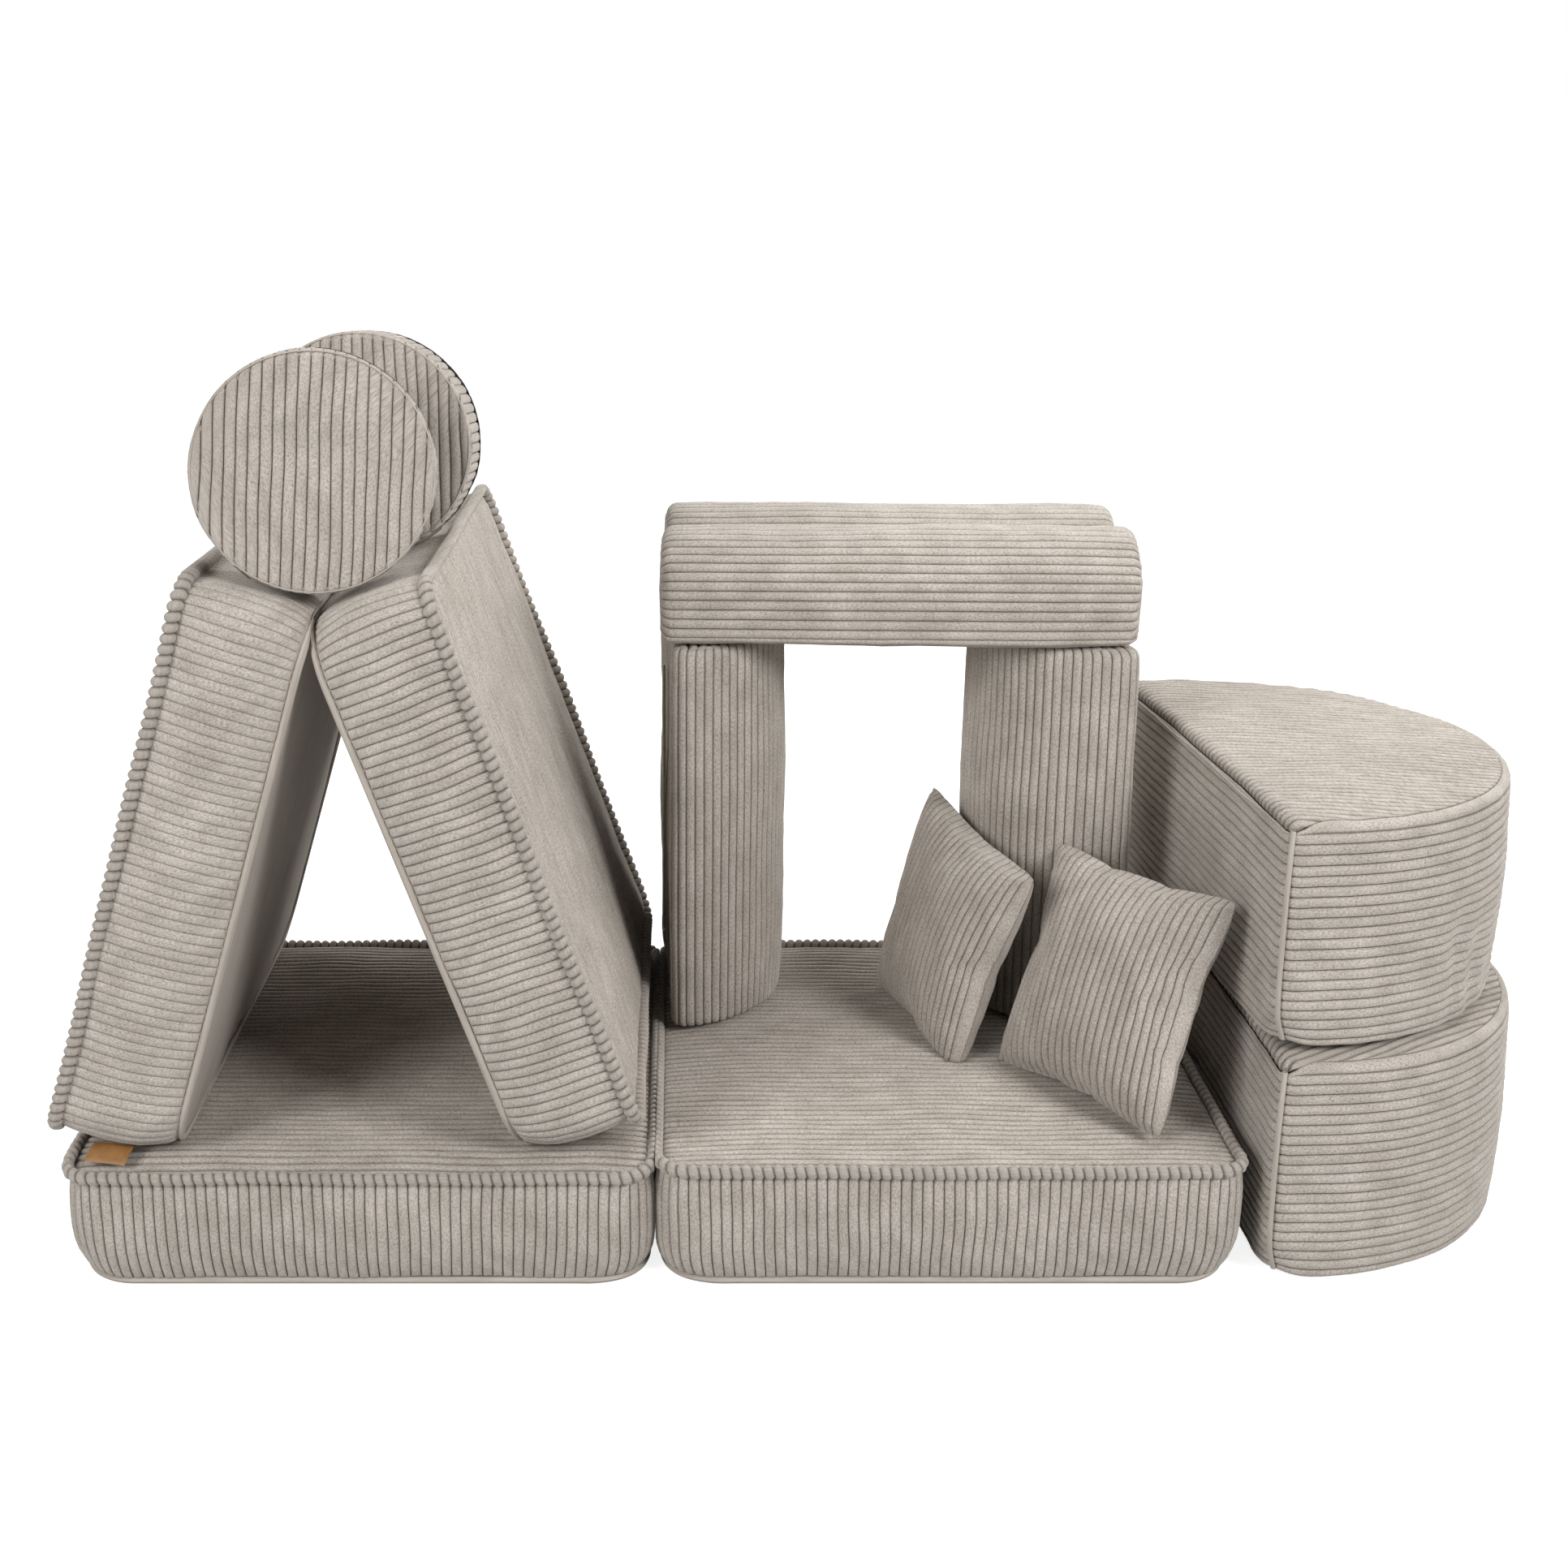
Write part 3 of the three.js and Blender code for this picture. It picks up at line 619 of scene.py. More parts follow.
TAPE_HALF = 0.008
TAPE_SHARES = np.array((-1.0, -0.96, -0.5, 0.0, 0.5, 0.96, 1.0))
TAPE_LIFTS = np.array((-2.0, 1.0, 1.0, 0.6, 1.0, 1.0, -2.0)) * 0.0006
COIL_RADIUS = 0.0017
COIL_PITCH = 0.003
COIL_SKEW = 0.3
COIL_DEPTH = COIL_RADIUS * 0.35
SLIDER_AT = 2
PULL_LIFT = COIL_RADIUS * 2.2
SLIDER_BODY = (0.009, 0.0075, 0.0045)
SLIDER_PULL = (0.024, 0.0065, 0.0016)
BLOCK_LENGTHS = (-1.0, -0.94, -0.8, 0.8, 0.94, 1.0)
BLOCK_SHARES = (0.02, 0.75, 1.0, 1.0, 0.75, 0.02)
BLOCK_SQUARENESS = 0.35
ZIP_TAPE, ZIP_COIL, ZIP_METAL = range(3)


def block(cloth, centre, axes, size):
    """A small block with rounded rims, swept from ring to ring."""
    half = np.array(size) / 2
    angles = np.linspace(0, 2 * pi, POINTS["block"])
    rim = np.stack((np.cos(angles), np.sin(angles)), -1)
    rim = np.sign(rim) * np.abs(rim) ** BLOCK_SQUARENESS
    grid = []
    for length, share in zip(BLOCK_LENGTHS, BLOCK_SHARES):
        local = np.stack((np.full(len(rim), length * half[0]), rim[:, 0] * half[1] * share,
                          rim[:, 1] * half[2] * share), -1)
        grid.append(centre + local @ axes)
    cloth.add(np.array(grid), finish=ZIP_METAL)


def add_zip(module, matrix, path, normals, seed):
    """Tape, coil and slider along a path, lying on the cover's wales; normals may be one for all."""
    cloth = Cloth(seed)
    normals = np.broadcast_to(normals, path.shape)
    tangent = np.gradient(path, axis=0)
    tangent /= np.linalg.norm(tangent, axis=1, keepdims=True)
    side = np.cross(normals, tangent)
    tape = (path[:, None] + side[:, None] * (TAPE_SHARES * TAPE_HALF)[None, :, None]
            + normals[:, None] * TAPE_LIFTS[None, :, None])
    cloth.add(tape, finish=ZIP_TAPE, flip=True)
    beads = int(outline_length(path) / COIL_PITCH)
    tube(cloth, path + normals * COIL_RADIUS / 2, COIL_RADIUS, outward=normals, sides=SIDES["coil"],
         closed=False, finish=ZIP_COIL, beads=beads, skew=COIL_SKEW, depth=COIL_DEPTH)
    start, along, across, out = (values[SLIDER_AT] for values in (path, tangent, side, normals))
    axes = np.array((along, across, out))
    block(cloth, start + out * COIL_RADIUS, axes, SLIDER_BODY)
    block(cloth, start + out * PULL_LIFT + along * SLIDER_PULL[0] / 2, axes, SLIDER_PULL)
    piece = cloth.build(f"{module}_zip_tape", matrix, (TAPE, NYLON, METAL))
    dress(piece, module, "zip", f"{module}_zip")


# Mats

MAT = {"crown": 0.009, "proud": 0.007, "corner": 0.04, "foot": 0.08}
MAT_PANEL = {"step": 0.0035, "inset": 0.006}
MAT_FOOT = {"inset": 0.013, "crown": 0.002, "piping_inset": 0.009}
WELT = {"radius": 0.0075, "tall": 0.0095, "rise": 0.0015, "depth": 0.0036, "skew": -0.12}
WELT_SWAY = {"share": 0.0012, "length": 0.22}
WELT_ROOM = np.array(((0, 0, 0), (0, 0, 0.01)))
LEFT_LEAN = 16.6
RIGHT_LEAN = 19.6
TENT_CROWN_SHARE = 0.6
LEFT_TENT_BAND_DEPTH = 0.72
FRONT_FADE = 0.07
PUSH = {"reach": 0.006, "depth": 0.05, "fade": 0.05, "least": 0.3}
FOOT_PUSH = {"reach": (0.045, 0.045, 0.05), "out": 0.008}
MAT_ZIP = {"length": 0.52, "height_share": 0.45, "points": 60}
QUARTER_WALES = 54

# The band's rows from foot to top, with their insets in millimetres and the corners' way to the foot's;
# the strip at its foot and the row at its top have no wales, but a height of their own, which also
# makes them darker as painted shade, under the welt and at the foot
BAND_SHARES = np.array((0, 0.012, 0.03, 0.052, 0.06, 0.08, 0.13, 0.22, 0.33, 0.45, 0.58, 0.7, 0.8, 0.89,
                        0.95, 1))
INSET_STOPS = ((0, 0.03, 0.07, 0.15, 0.3, 0.45, 0.6, 0.8, 0.9, 1),
               (12, 7.5, 3.6, -1.5, -5.6, -6.9, -7, -4.6, -2.1, 0))
CORNER_STOPS = ((0, 0.07, 0.3, 0.6, 0.9, 1), (1, 0.8, 0.4, 0.2, 0, 0))
STRIP = {"below": 0.055, "height": 0.55}
TOP_ROW = {"above": 0.98, "height": 0.3}


def mat_ring(points, half, radius, inset, z):
    """A ring round a mat, as a number of even points or as turns from 0 to 4."""
    turns = np.linspace(0, 4, points) if np.isscalar(points) else points
    return at_level(square_outline(turns, half, radius, inset), z)


def mat_band(half, band_top, seed):
    """The band's grid, from foot to top, and the wales' height shares on it."""
    stations, heights = wale_samples(4 * QUARTER_WALES)
    rows = []
    for share in BAND_SHARES:
        inset = np.interp(share, *INSET_STOPS) / 1000
        radius = MAT["corner"] + (MAT["foot"] - MAT["corner"]) * np.interp(share, *CORNER_STOPS)
        rows.append(mat_ring(stations * 4, half, radius, inset, share * band_top))
    band = np.array(rows)
    band[..., :2] += band_wander(band, seed)
    shares = BAND_SHARES[:, None]
    ribbed = np.where(shares < STRIP["below"], STRIP["height"], heights[None, :])
    return band, np.where(shares > TOP_ROW["above"], TOP_ROW["height"], ribbed)


def add_mat(module, turned, seed, press=None, front_lift=0.0, neighbour=0, band_depth=1.0):
    """A mat: ribbed band and top, plain underside with piping, its beaded welt and its zip.

    Press is the x of the upright plane that it leans on and the side of it that the mat is on, neighbour
    the side on which another mat lies, and band_depth the share to which its band is ribbed."""
    place = Place(module, turned)
    half = place.size[0] / 2 - MAT["proud"]
    band_top = place.size[2] - MAT["crown"]
    crown = MAT["crown"] * (TENT_CROWN_SHARE if press else 1)
    matrix = place.matrix()
    reach = place.size / 2
    top = place.size[2] + max(front_lift, 0)
    limits = np.array(((-reach[0], -reach[1], 0), (reach[0], reach[1], top)))
    cover = Cloth(seed, limits)
    band, ribbed = mat_band(half, band_top, seed)
    cover.add_relief(band, grid_normals(band, closed=True), 1 - band_depth * (1 - ribbed))
    outline = mat_ring(POINTS["mat"], half, MAT["corner"], 0, 0)[:, :2] * (1 - MAT_PANEL["inset"] / half)
    cap(cover, outline, band_top + MAT_PANEL["step"], 1, crown - MAT_PANEL["step"], relief=PANEL_RELIEF,
        open_wales=True)
    foot = mat_ring(POINTS["mat"], half, MAT["foot"], MAT_FOOT["inset"], 0)[:, :2]
    cap(cover, foot, MAT_FOOT["crown"], -1, MAT_FOOT["crown"], finish=SMOOTH, relief=0)
    path = mat_ring(POINTS["mat_piping"], half, MAT["foot"], MAT_FOOT["piping_inset"], PIPING)
    tube(cover, path, PIPING, finish=CORDED)
    welt = Cloth(seed + 5, limits + WELT_ROOM)
    inset = WELT["radius"] - MAT["proud"]
    path = mat_ring(POINTS["welt"], half, MAT["corner"], inset, band_top + WELT["rise"])
    path[:, 2] += WELT_SWAY["share"] * waves(path, WELT_SWAY["length"], seed + 6)
    tube(welt, path, WELT["radius"], WELT["tall"], sides=SIDES["welt"], beads=4 * QUARTER_WALES,
         skew=WELT["skew"], depth=WELT["depth"])
    pieces = []
    for cloth, name in ((cover, "cover"), (welt, "welt")):
        lift_front(cloth, half, band_top, front_lift)
        push_side(cloth, half, neighbour)
        piece = cloth.build(f"{module}_{name}_cloth", matrix, CLOTHS)
        if press:
            press_flat(piece, *press)
        pieces.append(piece)
    dress_cover(pieces[0], module)
    dress(pieces[1], module, "corduroy", f"{module}_welt")
    x = np.linspace(-MAT_ZIP["length"] / 2, MAT_ZIP["length"] / 2, MAT_ZIP["points"])
    path = at_level(at_level(x[:, None], half + MAT["proud"]), band_top * MAT_ZIP["height_share"])
    add_zip(module, matrix, path, (0.0, 1.0, 0.0), seed + 7)


def band_wander(band, seed):
    """Lets the wales of a band wander a little to either side, less at its top and foot."""
    tangent = np.gradient(band, axis=1)[..., :2]
    tangent /= np.maximum(np.linalg.norm(tangent, axis=-1, keepdims=True), 1e-9)
    share = BAND_SHARES[:, None]
    wander = WOBBLE * waves(band, BAND_WANDER, seed + 2) * 4 * share * (1 - share)
    wander[:, -1] = wander[:, 0]
    return tangent * wander[..., None]


def lift_front(cloth, half, band_top, lift):
    """Lifts or sinks the top of a mat along its front edge."""
    for points in cloth.points:
        near = np.clip(1 - (points[:, 1] + half) / FRONT_FADE, 0, 1)
        points[:, 2] += lift * near * near * (3 - 2 * near) * np.clip(points[:, 2] / band_top, 0, 1.1)


def push_side(cloth, half, side):
    """Pushes the side of a mat that faces a neighbour out to where they touch, and its front foot corner."""
    if not side:
        return
    for points in cloth.points:
        near = np.clip(1 - (half - points[:, 0] * side) / PUSH["depth"], 0, 1)
        along = np.clip((half - np.abs(points[:, 1])) / PUSH["fade"], PUSH["least"], 1)
        points[:, 0] += side * PUSH["reach"] * near * along
    out = FOOT_PUSH["out"]
    press_in(cloth, (side * half, -half, 0.0), FOOT_PUSH["reach"], (side * out, -out, 0))


def press_flat(piece, ridge_x, side):
    """Presses what would pass the ridge's upright plane flat against it."""
    world = piece.matrix_world
    inverse = world.inverted()
    for vertex in piece.data.vertices:
        spot = world @ vertex.co
        if (spot.x - ridge_x) * side < 0:
            spot.x = ridge_x
            vertex.co = inverse @ spot


def add_mats():
    ridge_x = (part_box("left_tent_mat_cover")[1].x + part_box("right_tent_mat_cover")[0].x) / 2
    add_mat("left_base_mat", Matrix.Identity(4), 11, front_lift=-0.005, neighbour=1)
    add_mat("right_base_mat", Matrix.Identity(4), 23, front_lift=0.004, neighbour=-1)
    add_mat("left_tent_mat", turn_y(LEFT_LEAN - 90), 37, (ridge_x, -1), band_depth=LEFT_TENT_BAND_DEPTH)
    add_mat("right_tent_mat", turn_y(90 - RIGHT_LEAN), 41, (ridge_x, 1))


# Discs

DISC = {"crown": 0.004, "edge": 0.009, "cell": 0.012, "zip": 0.2}
DISC_NEAR_ENDS = (0.0008, 0.0025, 0.0055)
DISC_PANEL = {"step": 0.0015, "inset": 0.0014}
SEAM = {"radius": 0.001, "pitch": 0.0036, "inset": 0.0042, "rise": 0.0003, "skew": 0.5, "depth": 0.4}
DISC_LEAN = -4.5


def edge_profile(height, low, high, edge, bulge=0.0):
    """The inset of a block's side at a height: rounded edges at both ends, and a bulge between them."""
    share = np.clip((height - low) / (high - low), 0, 1)
    from_end = np.minimum(height - low, high - height)
    return rounded_drop(from_end, edge) - bulge * 4 * share * (1 - share)


def disc_ring(count, radius, z):
    """A ring round a disc, as a number of even points or as shares of the turn."""
    shares = np.linspace(0, 1, count) if np.isscalar(count) else count
    return at_level(circle_outline(shares, radius), z)


def add_disc(module, turned, seed):
    """A disc, leaned back about its foot: wales up both faces and across its rim, and a roped seam."""
    place = Place(module, turned)
    radius = place.size[1] / 2
    thickness = place.size[2]
    first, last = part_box(f"{module}_cover")
    foot = Matrix.Translation(((first.x + last.x) / 2, (first.y + last.y) / 2, first.z))
    matrix = foot @ turn_x(DISC_LEAN) @ foot.inverted() @ place.matrix()
    low, high = DISC["crown"], thickness - DISC["crown"]
    cloth = Cloth(seed, np.array(((-radius, -radius, 0), (radius, radius, thickness))))
    stations, heights = wale_samples(int(round(2 * pi * radius / WALE)))
    levels = low + (high - low) * along_samples(high - low, DISC["cell"], DISC_NEAR_ENDS)
    insets = edge_profile(levels, low, high, DISC["edge"])
    rim = np.array([disc_ring(stations, radius - inset, level) for level, inset in zip(levels, insets)])
    cloth.add_relief(rim, grid_normals(rim, closed=True), np.broadcast_to(heights, rim.shape[:2]))
    outline = circle_outline(np.linspace(0, 1, POINTS["disc"]), radius - DISC_PANEL["inset"])
    step = DISC_PANEL["step"]
    cap(cloth, outline, high + step, 1, DISC["crown"] - step, 90)
    cap(cloth, outline, low - step, -1, DISC["crown"] - step, 90)
    reach = radius - SEAM["inset"]
    beads = int(round(2 * pi * reach / SEAM["pitch"]))
    for level in (low + SEAM["rise"], high - SEAM["rise"]):
        tube(cloth, disc_ring(POINTS["disc_seam"], reach, level), SEAM["radius"], sides=SIDES["seam"],
             finish=CORDED, beads=beads, skew=SEAM["skew"], depth=SEAM["radius"] * SEAM["depth"])
    dress_cover(cloth.build(f"{module}_cover_cloth", matrix, CLOTHS), module)
    reach = DISC["zip"] / 2 / radius
    angles = np.linspace(-pi / 2 - reach, -pi / 2 + reach, POINTS["disc_zip"])
    normals = np.column_stack((np.cos(angles), np.sin(angles), 0 * angles))
    path = normals * radius + np.array((0, 0, thickness / 2))
    add_zip(module, matrix, path, normals, seed + 7)


# Half-round blocks

COLUMN = {"straight": 0.0, "edge": 0.014, "crown": 0.0, "bulge": 0.003, "draw": 0.003, "corner": 0.02,
          "zip": 0.42}
BEAM = {"straight": 0.066, "edge": 0.019, "crown": 0.004, "bulge": 0.002, "draw": 0.0, "corner": 0.014,
        "zip": 0.48}
MOON = {"straight": 0.067, "edge": 0.01, "crown": 0.004, "bulge": 0.004, "draw": 0.004, "corner": 0.02,
        "zip": 0.3}
UPRIGHT_CELL = 0.025
UPRIGHT_NEAR_ENDS = (0.001, 0.003, 0.006, 0.01, 0.015)
CAP_INSET_SHARE = 0.75
CAP_STEP = 0.001
LEAST_CROWN = 0.0005
ZIP_LIFT = 0.001
ZIP_POINTS = 50


def half_round_block(module, turned, size, seed):
    """The matrix of a half-round block, its radius and its length, and the cloth that its cover starts as."""
    place = Place(module, turned)
    width, depth, length = place.size
    bulge = size["bulge"]
    matrix = place.matrix(x_from_low=True) @ Matrix.Translation((bulge, 0, 0))
    cloth = Cloth(seed, np.array(((-bulge, -depth / 2, 0), (width - bulge, depth / 2, length))))
    return matrix, depth / 2 - bulge, length, cloth


def side_grid(stations, levels, insets, radius, size):
    return np.array([at_level(half_round_outline(stations, radius, size, inset), level)
                     for level, inset in zip(levels, insets)])


def cap_outline(radius, size):
    """The outline of a half-round block's end panels."""
    shares = np.linspace(0, 1, POINTS["half_round"])
    return half_round_outline(shares, radius, size, size["edge"] * CAP_INSET_SHARE)


def add_caps(cloth, radius, size, low, high, direction):
    """Closes both ends of a half-round block with ribbed panels."""
    outline = cap_outline(radius, size)
    cap(cloth, outline, high + CAP_STEP, 1, max(size["crown"] - CAP_STEP, LEAST_CROWN), direction,
        relief=PANEL_RELIEF, open_wales=True)
    cap(cloth, outline, low - CAP_STEP if low > 0 else LEAST_CROWN, -1, max(low - CAP_STEP, 0), direction)


def add_upright(module, turned, size, low, direction, seed):
    """A column or a beam: wales run along its length, and along a direction on its ends."""
    matrix, radius, length, cloth = half_round_block(module, turned, size, seed)
    high = length - size["crown"]
    probe = half_round_outline(np.linspace(0, 1, POINTS["half_round_length"]), radius, size, 0)
    stations, heights = wale_samples(int(round(outline_length(probe) / WALE)))
    levels = low + (high - low) * along_samples(high - low, UPRIGHT_CELL, UPRIGHT_NEAR_ENDS)
    insets = edge_profile(levels, low, high, size["edge"], size["bulge"])
    side = side_grid(stations, levels, insets, radius, size)
    cloth.add_relief(side, grid_normals(side, closed=True), np.broadcast_to(heights, side.shape[:2]))
    add_caps(cloth, radius, size, low, high, direction)
    dress_cover(cloth.build(f"{module}_cover_cloth", matrix, CLOTHS), module)
    return matrix, radius, length


def add_long_zip(module, matrix, length, size, x, y, normal, seed):
    """A straight zip at x and y along the middle of a column or a beam."""
    z = np.linspace((length - size["zip"]) / 2, (length + size["zip"]) / 2, ZIP_POINTS)
    path = np.column_stack((np.full(len(z), x), np.full(len(z), y), z))
    add_zip(module, matrix, path, normal, seed + 7)


def add_column(module, turned, seed):
    matrix, _, length = add_upright(module, turned, COLUMN, 0.0, 90, seed)
    flat = COLUMN["draw"] - COLUMN["bulge"]
    add_long_zip(module, matrix, length, COLUMN, flat - ZIP_LIFT, 0.0, (-1.0, 0.0, 0.0), seed)


def add_beam(module, turned, seed):
    matrix, radius, length = add_upright(module, turned @ LENGTHWAYS, BEAM, BEAM["crown"], 0, seed)
    y = -radius - BEAM["bulge"] - ZIP_LIFT
    add_long_zip(module, matrix, length, BEAM, BEAM["straight"] / 2, y, (0.0, -1.0, 0.0), seed)


# Half-moons: the sides' samples, and the rows by which the top panel wraps over the rounded rim; the
# flat side's rim isn't wrapped, but only tucked in
MOON_ROUND = 301
MOON_RIM = 0.017
RIM_TUCK = 0.25
RIM_ROWS = (0.1, 0.28, 0.5, 0.72, 0.9, 1.0)
# Their low ends sink the rows and, as painted shade, make the colour darker there
RIM_HEIGHTS = (0.5, 0.85, 1.0, 0.98, 0.85, 0.45)
RIM_REACH = 1 - cos(radians(78))
WRAP_FROM = 0.004
WRAP_OVER = 0.05
CORNER_SHARE = 0.3
MOON_ZIP_MARGIN = 0.01

# Dents: centre, reach and push, in a half-moon's own axes
UPPER_MOON_DENTS = (
    ((0.25, -0.27, 0.1), (0.02, 0.02, 0.06), (-0.004, 0.007, 0.0)),
    ((0.29, -0.235, 0.06), (0.022, 0.022, 0.055), (-0.005, 0.008, 0.003)),
    ((0.34, -0.19, 0.03), (0.04, 0.04, 0.025), (-0.004, 0.004, 0.005)),
    ((0.0, -0.33, 0.0), (0.03, 0.03, 0.03), (0.012, 0.008, 0.007)),
)
LOWER_MOON_DENTS = (((0.0, -0.33, 0.0), (0.03, 0.03, 0.03), (0.01, 0.008, 0.006)),)


def moon_rim(outer, inner, high):
    """The rows of the rounded rim, and how far round the rim the top panel reaches, along the outline."""
    wrap = np.clip((outer[:, 0] - WRAP_FROM) / WRAP_OVER, 0, 1)
    wrap = (wrap * wrap * (3 - 2 * wrap))[:, None]
    reach = wrap * RIM_REACH
    rows = []
    for share in RIM_ROWS:
        inward = 1 - np.cos(np.arccos(1 - reach) * share)
        ring = outer + (inner - outer) * inward
        level = high - rounded_drop(rim_distance(ring, outer), MOON_RIM)
        tuck = (inner - outer) * (1 - wrap) * RIM_TUCK * share
        rows.append(np.column_stack((ring + tuck, level)))
    return rows, reach


def corner_piping(cloth, radius, high):
    """Piping up both upright corners of a half-moon."""
    z = np.linspace(MOON["edge"] * 0.5, high - MOON_RIM + MOON_RIM * 0.2, POINTS["moon_piping"])
    bow = MOON["bulge"] * 4 * z / high * (1 - z / high)
    corner = MOON["corner"] * CORNER_SHARE
    for side in (-1, 1):
        path = np.column_stack((corner - bow, side * (radius - corner + bow), z))
        tube(cloth, path, MOON_PIPING, outward=np.array((0.0, 1.0, 0.0)), closed=False, finish=CORDED)


def add_half_moon(module, turned, top_direction, seed, dents):
    """A half-moon block: wales run round its side, its top wraps over the rim, and its corners are piped."""
    matrix, radius, length, cloth = half_round_block(module, turned, MOON, seed)
    high = length - MOON["crown"]
    top = high - MOON_RIM
    stations, heights = wale_samples(int(round(top / WALE)))
    levels = top * stations
    insets = edge_profile(levels, 0.0, high, MOON["edge"], MOON["bulge"])
    shares = np.linspace(0, 1, MOON_ROUND)
    side = side_grid(shares, levels, insets, radius, MOON)
    rims = side_grid(shares, (top, top), (insets[-1], insets[-1] + MOON_RIM), radius, MOON)
    outer, inner = rims[..., :2]
    rim_rows, reach = moon_rim(outer, inner, high)
    side = np.concatenate((side, rim_rows))
    normals = grid_normals(side, closed=True).transpose(1, 0, 2)
    side = side.transpose(1, 0, 2)
    heights = np.broadcast_to(np.concatenate((heights, RIM_HEIGHTS)), side.shape[:2])
    cloth.add_relief(side, normals, heights, flip=True)
    wrapped_panel(cloth, outer, outer + (inner - outer) * reach, high, MOON_RIM, MOON["crown"],
                  top_direction)
    cap(cloth, cap_outline(radius, MOON), LEAST_CROWN, -1, 0)
    corner_piping(cloth, radius, high)
    for dent in dents:
        press_in(cloth, *dent)
    dress_cover(cloth.build(f"{module}_cover_cloth", matrix, CLOTHS), module)
    x = np.linspace(MOON_ZIP_MARGIN, MOON["zip"] - MOON_ZIP_MARGIN, POINTS["moon_zip"])
    y = np.sqrt(radius ** 2 - x ** 2)
    normals = np.column_stack((x, y, 0 * x)) / radius
    path = np.column_stack((x + MOON["straight"], y, np.full(len(x), length / 2)))
    add_zip(module, matrix, path + normals * (MOON["bulge"] + ZIP_LIFT), normals, seed + 7)


# Pillows

PILLOW = {"draw": 0.008, "blunt": 0.007, "wider": 0.01, "cell": 0.0075, "seam_fade": 0.006}
PILLOW_NEAR_ENDS = (0.001, 0.0025, 0.005)
PILLOW_ZIP = {"length": 0.16, "share": 0.7, "points": 30}
SIMULATED_SHARE = 0.3
FULLNESS_POWER = 0.4
BLUNT_POWER = 8
STANDING_LEVEL = 0.158
CELLS = 36
PUFF_FRAMES = 26
PUFF_LIFT = 0.004
PUFF = {"use_pressure": True, "quality": 6, "mass": 0.2, "tension_stiffness": 40, "compression_stiffness": 40,
        "shear_stiffness": 12, "bending_stiffness": 1.2}


def square_grid(half):
    line = np.linspace(-half, half, CELLS + 1)
    return np.meshgrid(line, line, indexing="ij")


def pillow_grids(half, thickness):
    """The back and front panels of a pillow before it is puffed up, meeting at the seam."""
    u, v = square_grid(1)
    x = half * u - PILLOW["draw"] * u * (1 - v * v)
    y = half * v - PILLOW["draw"] * v * (1 - u * u)
    z = thickness / 2 * np.clip((1 - u * u) * (1 - v * v), 0, 1) ** FULLNESS_POWER
    return np.stack((x, y, -z), -1), np.stack((x, y, z), -1)


def quads(index):
    corners = (index[:-1, :-1], index[1:, :-1], index[1:, 1:], index[:-1, 1:])
    return np.stack(corners, -1).reshape(-1, 4)


def puffed_grids(half, thickness, pressure):
    """The panels after a cloth simulation that puffs up a flat square bag with a sewn rim."""
    x, y = square_grid(half)
    inner = (np.abs(x) < half * 0.999) & (np.abs(y) < half * 0.999)
    lift = PUFF_LIFT * inner
    front = np.arange((CELLS + 1) ** 2).reshape(CELLS + 1, CELLS + 1)
    back = front.copy()
    back[inner] = front.size + np.arange(int(inner.sum()))
    points = np.concatenate((np.stack((x, y, lift), -1).reshape(-1, 3), np.stack((x, y, -lift), -1)[inner]))
    faces = np.concatenate((quads(front), quads(back)[:, ::-1]))
    mesh = bpy.data.meshes.new("puff")
    mesh.from_pydata(points.tolist(), [], faces.tolist())
    bag = add_object("puff", mesh)
    cloth = bag.modifiers.new("Cloth", "CLOTH")
    for name, value in PUFF.items():
        setattr(cloth.settings, name, value)
    cloth.settings.uniform_pressure_force = pressure
    cloth.settings.effector_weights.gravity = 0
    cloth.point_cache.frame_start = 1
    cloth.point_cache.frame_end = PUFF_FRAMES
    for step in range(1, PUFF_FRAMES + 1):
        bpy.context.scene.frame_set(step)
    evaluated = bag.evaluated_get(bpy.context.evaluated_depsgraph_get()).to_mesh()
    result = np.array([v.co for v in evaluated.vertices])
    bpy.data.objects.remove(bag)
    bpy.context.scene.frame_set(1)
    low, high = result.min(0), result.max(0)
    result = (result - (high + low) / 2) / ((high - low) / 2) * np.array((half, half, thickness / 2))
    return result[back.ravel()].reshape(*back.shape, 3), result[front.ravel()].reshape(*front.shape, 3)


def resample(grid, u, v):
    """A grid read at shares u and v of its two sides, by a smooth curve through its points."""
    def smooth(values, shares):
        at = np.clip(shares, 0, 1) * (len(values) - 1)
        low = np.clip(np.floor(at).astype(int), 0, len(values) - 2)
        t = (at - low)[:, None, None]
        a = values[np.maximum(low - 1, 0)]
        b = values[low]
        c = values[low + 1]
        d = values[np.minimum(low + 2, len(values) - 1)]
        return b + 0.5 * t * (c - a + t * (2 * a - 5 * b + 4 * c - d + t * (3 * (b - c) + d - a)))
    rows = smooth(grid, u)
    return smooth(rows.transpose(1, 0, 2), v).transpose(1, 0, 2)


def pillow_panels(half, thickness, pressure, taper):
    """The back and front panels: mixed with simulated ones, blunt at their corners, tapered upwards."""
    panels = pillow_grids(half, thickness)
    for panel, puffed in zip(panels, puffed_grids(half, thickness, pressure)):
        panel += SIMULATED_SHARE * (puffed - panel)
    u, v = square_grid(1)
    corner = np.stack((np.sign(u), np.sign(v), 0 * u), -1) * ((u * v) ** BLUNT_POWER)[..., None]
    for panel in panels:
        panel -= PILLOW["blunt"] * corner
        panel[..., 0] *= 1 + taper * v
    return panels


def stand_flat(piece, matrix):
    """Presses the foot of a pillow flat where it stands on the mat."""
    inverse = matrix.inverted()
    for vertex in piece.data.vertices:
        spot = matrix @ vertex.co
        if spot.z < STANDING_LEVEL:
            spot.z = STANDING_LEVEL
            vertex.co = inverse @ spot


